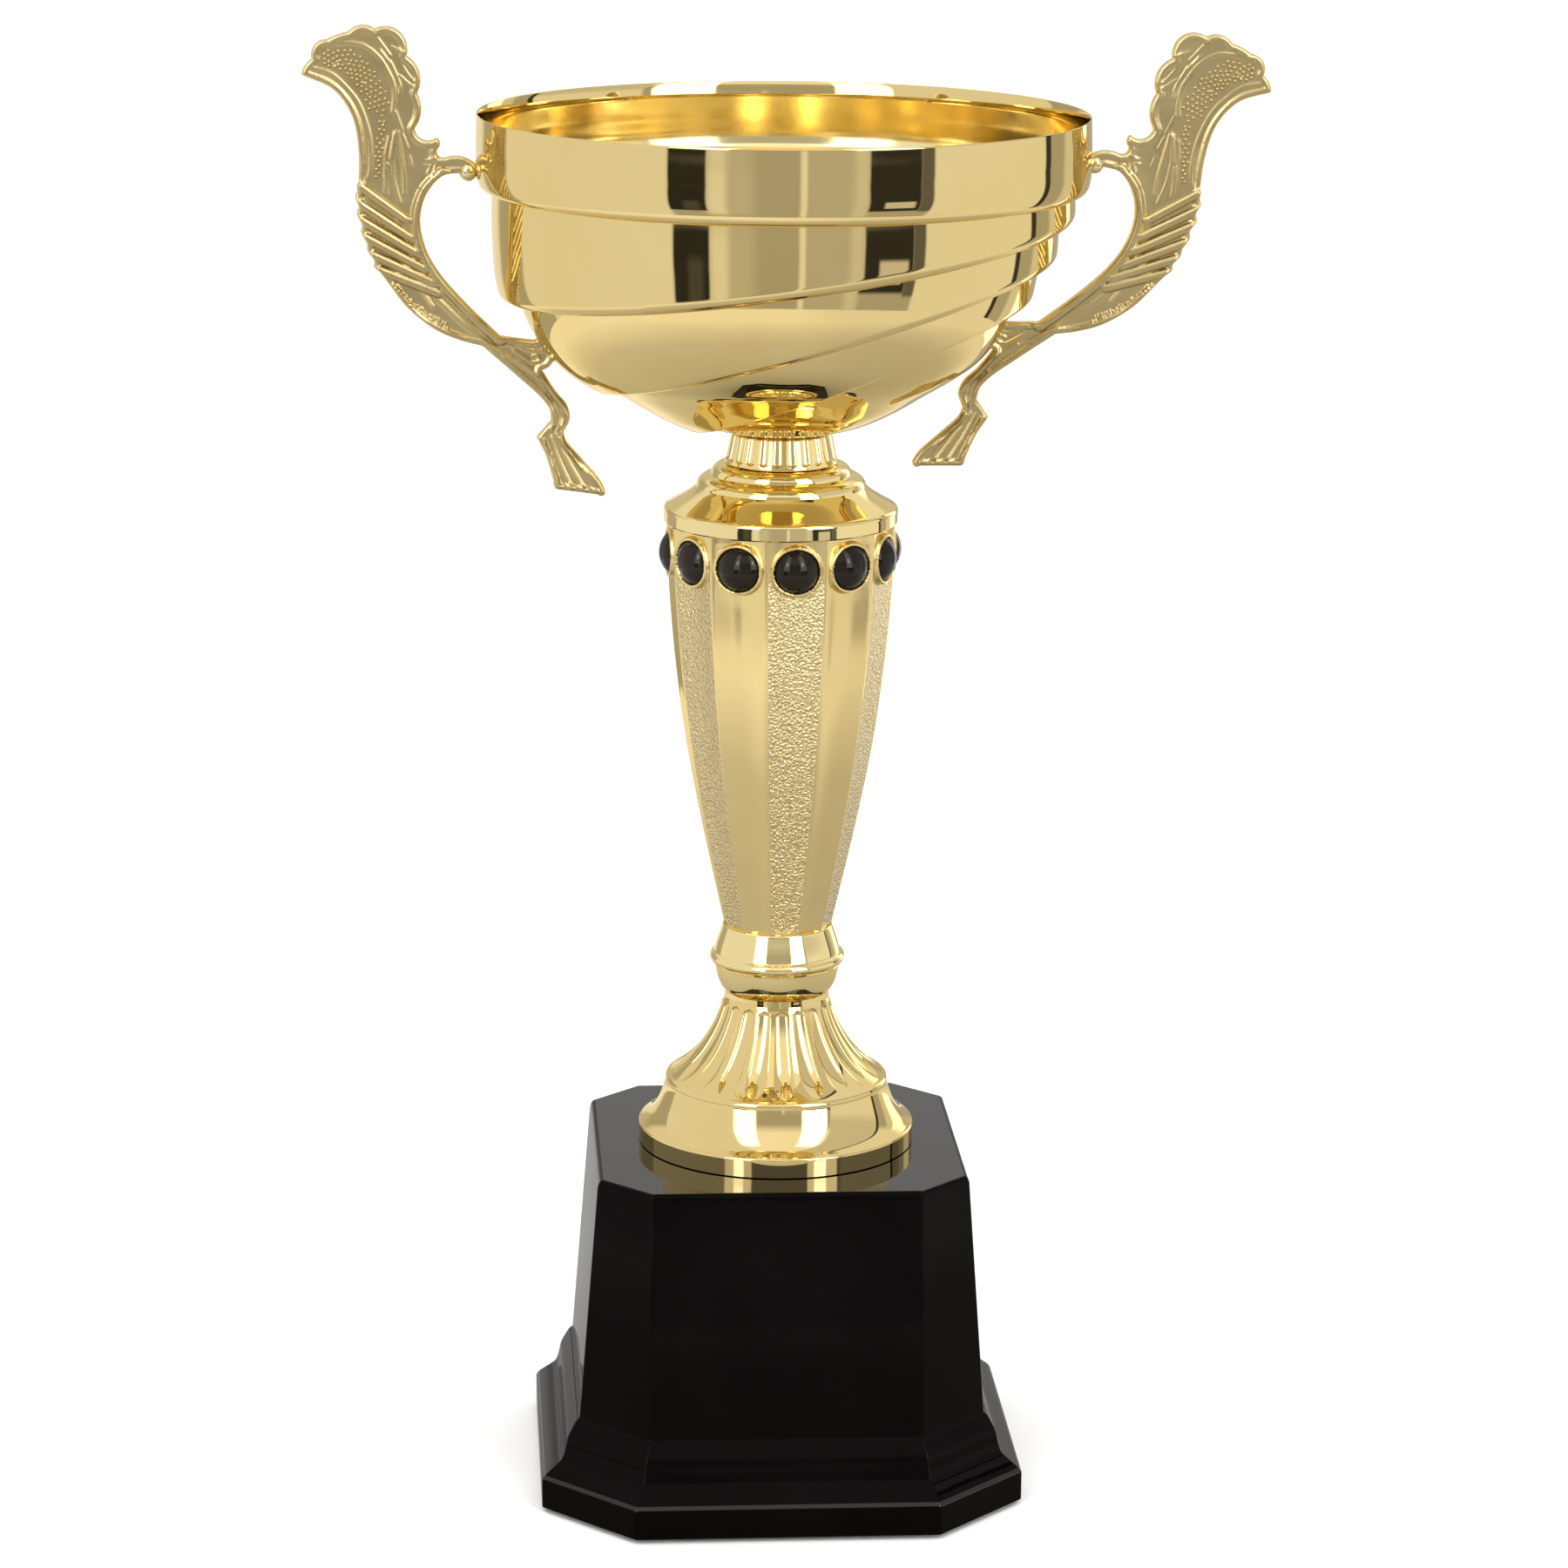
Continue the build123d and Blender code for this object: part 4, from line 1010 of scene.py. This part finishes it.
def casting_mesh():
    """Points, triangles, half thicknesses and edge distances of one face of the casting."""
    loop = handle_outline(OUTLINE_STEP)
    closed = np.vstack([loop, loop[:1]])
    beads = bead_centres()
    pits = belly_pits()
    dots = np.vstack([beads, pits])

    def deeper(points, margin):
        points = points[is_inside(points, loop)]
        return points[distance_to(points, closed) > margin]

    low, high = loop.min(axis=0), loop.max(axis=0)
    spots = []
    for i, v in enumerate(np.arange(low[1], high[1], GRID_STEP * 0.866)):
        u = np.arange(low[0] + (i % 2) * GRID_STEP / 2, high[0], GRID_STEP)
        spots.append(np.column_stack([u, np.full(len(u), v)]))
    spots = deeper(np.vstack(spots), 1.15)
    spots = spots[distance_to_spots(spots, dots) > 0.6]
    for line, _, _ in LINES:
        spots = spots[distance_to(spots, relief_curve(line)) > 0.75]
    for rib in RIBS:
        spots = spots[distance_to(spots, rib) > RIB_RADIUS + 0.2]

    rings = []
    for centre in dots:
        for radius, count in ((0.0, 1), (0.2, 6), (0.36, 9), (0.46, 12)):
            rings.append(centre + radius * np.column_stack([np.cos(turns(count)), np.sin(turns(count))]))
    rings = deeper(np.vstack(rings), 1.05)

    line_rows = np.array((-1.6, -0.8, 0.0, 0.8, 1.6))
    rib_rows = np.array((-1.02, -0.9, -0.65, -0.33, 0.0, 0.33, 0.65, 0.9, 1.02)) * RIB_RADIUS
    guides = [beside(line, line_rows * width, 0.4) for line, _, width in LINES]
    guides += [beside(rib, rib_rows, 0.45) for rib in RIBS]
    guides = thinned(np.vstack(guides), 0.16)
    guides = deeper(guides[distance_to_spots(guides, dots) > 0.55], 1.05)

    borders = border_points(loop)
    borders = borders[is_inside(borders, loop)]
    points = np.vstack([loop, borders, rings, guides, spots])
    edges = [(i, (i + 1) % len(loop)) for i in range(len(loop))]
    done = delaunay_2d_cdt([Vector(p) for p in points.tolist()], edges, [], 1, 1e-5)
    flat = np.array([tuple(v) for v in done[0]])
    triangles = np.array([tuple(f) for f in done[2]])
    triangles = triangles[is_inside(flat[triangles].mean(axis=1), loop)]
    a, b, c = (flat[triangles[:, k]] for k in range(3))
    area = (b[:, 0] - a[:, 0]) * (c[:, 1] - a[:, 1]) - (b[:, 1] - a[:, 1]) * (c[:, 0] - a[:, 0])
    triangles[area < 0] = triangles[area < 0][:, ::-1]
    edge_gap = distance_to(flat, closed)
    edge_gap[edge_gap < 1e-4] = 0.0
    return flat, triangles, relief(flat, edge_gap, beads, pits), edge_gap


def pin(start, end, radius, columns=24):
    """Round peg between two points of the casting's plane, with rounded tips."""
    axis = np.array([end[0] - start[0], 0.0, end[1] - start[1]])
    length = np.linalg.norm(axis)
    axis /= length
    side = np.array([0.0, 1.0, 0.0])
    third = np.cross(axis, side)
    rows = [
        (0.02, 0.0), (radius, 0.0), (radius, length - 0.5),
        (radius - 0.15, length - 0.15), (radius - 0.5, length), (0.02, length),
    ]
    origin = np.array([start[0], 0.0, start[1]])
    vertices = [
        origin + axis * along + r * (side * math.cos(turn) + third * math.sin(turn))
        for r, along in rows for turn in (TURN * j / columns for j in range(columns))
    ]
    return np.array(vertices), ring_faces(len(rows), columns, closed_rows=True)


def ball(centre, radii, rows=14, columns=28):
    """Rounded boss, as a closed ring grid from pole to pole."""
    vertices = []
    for i in range(rows + 1):
        lift = math.pi * (i + 0.02) / (rows + 0.04)
        for j in range(columns):
            turn = TURN * j / columns
            vertices.append((
                centre[0] + radii[0] * math.sin(lift) * math.cos(turn),
                radii[1] * math.sin(lift) * math.sin(turn),
                centre[1] + radii[2] * math.cos(lift),
            ))
    return np.array(vertices), ring_faces(rows + 1, columns, closed_rows=True)


def make_handle(side, parts):
    """Front and back faces of the casting, the edge between them, pegs and boss."""
    flat, triangles, height, edge_gap = parts
    plane = push_out(to_plane(flat, side), side)
    count = len(flat)
    vertices = [np.column_stack([plane[:, 0], depth, plane[:, 1]]) for depth in (-height, height)]
    sides = dict.fromkeys(edge for a, b, c in triangles for edge in ((a, b), (b, c), (c, a)))
    rim = [edge for edge in sides if (edge[1], edge[0]) not in sides]
    flip = side == "left"
    faces = []
    for a, b, c in triangles:
        faces.append((c, b, a) if flip else (a, b, c))
        faces.append((count + a, count + b, count + c) if flip else (count + c, count + b, count + a))
    for a, b in rim:
        faces.append((a, b, count + b, count + a) if flip else (b, a, count + a, count + b))
    gap = edge_gap[triangles].mean(axis=1)
    # Faces near the outline, the edge and the pegs take the polished gold with its painted highlight.
    material = np.repeat(np.where(gap < POLISHED_HIGHLIGHT_EDGE, 1, 0), 2).tolist() + [1] * len(rim)
    total = 2 * count
    for points, quads in (
        pin((1.5, 0.0), (-4.6, 0.0), 1.3), pin((-11.5, -44.0), (-18.9, -39.2), 1.3),
        ball((2.0, -0.4), (2.2, 2.3, 2.3)),
    ):
        placed = to_plane(points[:, [0, 2]], side)
        vertices.append(np.column_stack([placed[:, 0], points[:, 1], placed[:, 1]]))
        faces.extend(tuple(total + k for k in quad) for quad in quads)
        material.extend([1] * len(quads))
        total += len(points)
    name = f"cast_handle_{side}"
    return build(name, np.vstack(vertices), faces, [face_gold, edge_gold_painted_highlight], material, sharp=50.0)


# ---- assemble
def stand_for(thing, slot_name, *nodes):
    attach(thing, "root")
    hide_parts(*nodes)


stand_for(make_base(), "gloss_black", "base_shell")
stand_for(make_foot(), "gold_plastic", "foot")
stand_for(make_knop(), "gold_plastic", "knop")
stand_for(make_column(), "gold_plastic", "column")
stand_for(make_shoulder(), "gold_plastic", "shoulder")
stand_for(make_neck(), "gold_plastic", "neck")
stand_for(make_bowl(), "gold_metal", "bowl")
for number in range(PANELS):
    stand_for(make_gem(number), "black_cabochon", f"gem_{number + 1:02d}")
casting = casting_mesh()
for hand in ("left", "right"):
    stand_for(make_handle(hand, casting), "gold_satin", f"handle_{hand}")

CAD_FINISHES = [
    (ballast, "base_weight"), (board, "base_cover"), (felt, "base_felt"), (fibre, "bowl_seat_washer"),
    (steel, "tie_rod base_washer base_nut bowl_washer bowl_nut"),
    (spring, "push_nut_left_upper push_nut_left_lower push_nut_right_upper push_nut_right_lower"),
]
for finish, nodes in CAD_FINISHES:
    for node in nodes.split():
        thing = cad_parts[node]
        thing.data.materials.clear()
        thing.data.materials.append(finish)

# ---- studio
# Directions of the surroundings are given as azimuth and elevation in degrees seen
# from the trophy; azimuth 0 is towards the camera and positive is to its right.
CAMERA_AZIMUTH = 3.86
BASE_LEVEL = 0.49
SURROUNDINGS = [
    # azimuth low, high, elevation low, high, softness of sides, of ends, brightness
    (-200, 200, 26, 95, 1, 8, 1.15),
    (-200, -155, 6, 22, 6, 3, 0.66),
    (155, 200, 6, 22, 6, 3, 0.66),
    (-178, -125, 24, 84, 3, 5, 0.90),
    (117, 178, 24, 84, 3, 5, 0.95),
    (-200, -150, -70, 4, 3, 3, 0.95),
    (-125, -43, -70, 84, 1.5, 5, 0.93),
    (57, 113.5, -70, 84, 1.2, 5, 0.95),
    (57, 113.5, 12, 84, 1.2, 6, 0.72),
    (128, 138, -70, 24, 2, 5, 0.80),
    (138, 153, -70, 24, 2, 5, 2.20),
    (113.5, 117, -70, 70, 0.6, 6, 0.05),
    (-28.5, -20, -26, 0, 3.0, 6, 0.92),
    (-20, -11, -26, 0, 3.0, 6, 0.62),
    (6.3, 9.0, -30, 4, 0.9, 6, 0.97),
    (9.0, 26, -30, 4, 0.9, 6, 0.57),
    (26, 32, -30, 4, 2.0, 6, 0.74),
    (-43, -28.5, -20.0, -2, 0.6, 1.2, 0.032),
    (32, 52, -20.0, -2, 0.6, 1.2, 0.036),
    (-37, -31, -19, -9, 1.5, 1.5, 0.085),
    (38, 50, -16, -9.5, 0.8, 0.6, 0.70),
    (52, 57, -21.5, 1, 0.6, 1.2, 0.15),
    (-43, -20, -1, 60, 0.8, 1.2, 3.4),
    (27, 53, -1, 60, 0.8, 1.2, 3.6),
    (-35, -27, 17, 33, 0.8, 1.0, 12.0),
    (33, 43, 17, 33, 0.8, 1.0, 12.0),
]


def make_world():
    world = bpy.data.worlds.new("studio")
    bpy.context.scene.world = world
    world.use_nodes = True
    n = Nodes(world.node_tree)
    direction = n.add("ShaderNodeTexCoord").outputs["Generated"]
    x, y, z = n.add("ShaderNodeSeparateXYZ", {"Vector": direction}).outputs
    turn = n.math("ARCTAN2", x, n.math("MULTIPLY", y, -1.0))
    azimuth = n.math("ADD", n.math("DEGREES", turn), CAMERA_AZIMUTH)
    elevation = n.math("DEGREES", n.math("ARCSINE", z))
    level = BASE_LEVEL
    for az_low, az_high, el_low, el_high, side, end, value in SURROUNDINGS:
        window = n.span(azimuth, az_low - side, az_low + side, smooth=True)
        for edge in (
            n.span(azimuth, az_high - side, az_high + side, 1.0, 0.0, smooth=True),
            n.span(elevation, el_low - end, el_low + end, smooth=True),
            n.span(elevation, el_high - end, el_high + end, 1.0, 0.0, smooth=True),
        ):
            window = n.math("MULTIPLY", window, edge)
        level = n.math("MULTIPLY_ADD", window, n.math("SUBTRACT", value, level), level)
    background = n.add("ShaderNodeBackground", {"Color": (1.0, 0.985, 0.955, 1.0), "Strength": level})
    n.add("ShaderNodeOutputWorld", {"Surface": background.outputs[0]})


def floor_material(name, stops, rough, shade_span):
    """Matt pale surface whose colour runs along the stops with distance from the trophy, in metres,
    and darkens to its right as painted shade: shade_span is where that starts, where it ends, and its share."""
    material, n = new_material(name)
    place = object_place(n)
    away = n.add("ShaderNodeVectorMath", {0: place}, operation="LENGTH").outputs["Value"]
    drift = n.math("MULTIPLY_ADD", n.noise(place, 6.0, 3.0), 0.04, away)
    across = n.add("ShaderNodeSeparateXYZ", {"Vector": place}).outputs["X"]
    start, finish, share = shade_span
    shade = n.span(across, start, finish, 1.0, share, smooth=True)
    inputs = {0: n.ramp(drift, stops), "Scale": shade}
    colour = n.add("ShaderNodeVectorMath", inputs, operation="SCALE").outputs["Vector"]
    finish_material(n, {"Base Color": colour, "Roughness": rough, "Specular IOR Level": 0.0})
    return material


def flat_disc(name, radius, z, material, columns=96):
    turn = turns(columns)
    vertices = np.column_stack([radius * np.cos(turn), radius * np.sin(turn), np.full(columns, z)])
    thing = add_mesh(name, vertices, [tuple(range(columns))], [material])
    return thing


def make_backdrop(radius, columns=48):
    """White half dome behind everything, seen by the camera alone."""
    material, n = new_material("white_backdrop")
    glow = n.add("ShaderNodeEmission", {"Color": (1.0, 1.0, 1.0, 1.0), "Strength": 1.0})
    n.add("ShaderNodeOutputMaterial", {"Surface": glow.outputs[0]})
    lifts = np.radians([-4, 10, 25, 40, 55, 70, 85, 89.5])
    profile = [(radius * math.cos(lift), radius * math.sin(lift)) for lift in lifts]
    vertices = spun(*around(profile, columns), turns(columns))
    dome = add_mesh("backdrop", vertices, ring_faces(len(profile), columns), [material])
    dome.visible_diffuse = False
    dome.visible_glossy = False
    dome.visible_transmission = False
    dome.visible_shadow = False


def area_light(name, place, target, size, power):
    data = bpy.data.lights.new(name, "AREA")
    data.shape = "SQUARE"
    data.size = size
    data.energy = power
    thing = bpy.data.objects.new(name, data)
    thing.location = place
    thing.rotation_mode = "QUATERNION"
    thing.rotation_quaternion = (Vector(target) - Vector(place)).to_track_quat("-Z", "Y")
    thing.visible_glossy = False
    bpy.context.scene.collection.objects.link(thing)


make_world()
# The gold and the gloss black see the table, the camera and soft light see the floor.
# Painted shade: the table's grey darkens towards the trophy and to its right, seen only in reflections.
table_with_painted_shade = floor_material("pale_table_painted_shade", [
    (0.08, (0.33, 0.325, 0.31)), (0.17, (0.41, 0.405, 0.39)), (0.34, (0.46, 0.45, 0.44)), (0.52, (0.70, 0.69, 0.675)),
], 0.8, (-0.05, 0.25, 0.86))
sweep_white = floor_material(
    "pale_floor", [(0.1, (0.93, 0.93, 0.93)), (0.9, (0.95, 0.95, 0.95))], 0.9, (0.0, 1.0, 1.0))
table = flat_disc("table", 0.62, -0.0002, table_with_painted_shade)
table.visible_camera = False
table.visible_diffuse = False
table.visible_shadow = False
sweep = flat_disc("floor", 9.0, -0.0006, sweep_white)
sweep.visible_glossy = False
make_backdrop(8.5)
area_light("soft_top", (0.0, 0.0, 3.2), (0, 0, 0), 5.0, 62.0)

# ---- camera
CAMERA_PLACE = Vector((-0.07797, -1.1562, 0.4530))
CAMERA_YAW = math.radians(3.923)
CAMERA_PITCH = math.radians(13.871)
CAMERA_ROLL = math.radians(0.5)
LENS = 116.55

forward = Vector((
    math.sin(CAMERA_YAW) * math.cos(CAMERA_PITCH),
    math.cos(CAMERA_YAW) * math.cos(CAMERA_PITCH),
    -math.sin(CAMERA_PITCH),
))
level_right = Vector((math.cos(CAMERA_YAW), -math.sin(CAMERA_YAW), 0))
level_up = level_right.cross(forward)
right = level_right * math.cos(CAMERA_ROLL) + level_up * math.sin(CAMERA_ROLL)
up = level_up * math.cos(CAMERA_ROLL) - level_right * math.sin(CAMERA_ROLL)
camera_data = bpy.data.cameras.new("camera")
camera_data.lens = LENS
camera_data.sensor_width = 36.0
camera_data.clip_start = 0.01
camera_data.clip_end = 50.0
camera = bpy.data.objects.new("camera", camera_data)
bpy.context.scene.collection.objects.link(camera)
camera.location = CAMERA_PLACE
camera.rotation_mode = "QUATERNION"
camera.rotation_quaternion = Matrix((right, up, -forward)).transposed().to_quaternion()
bpy.context.scene.camera = camera
bpy.context.scene.view_settings.view_transform = "Standard"
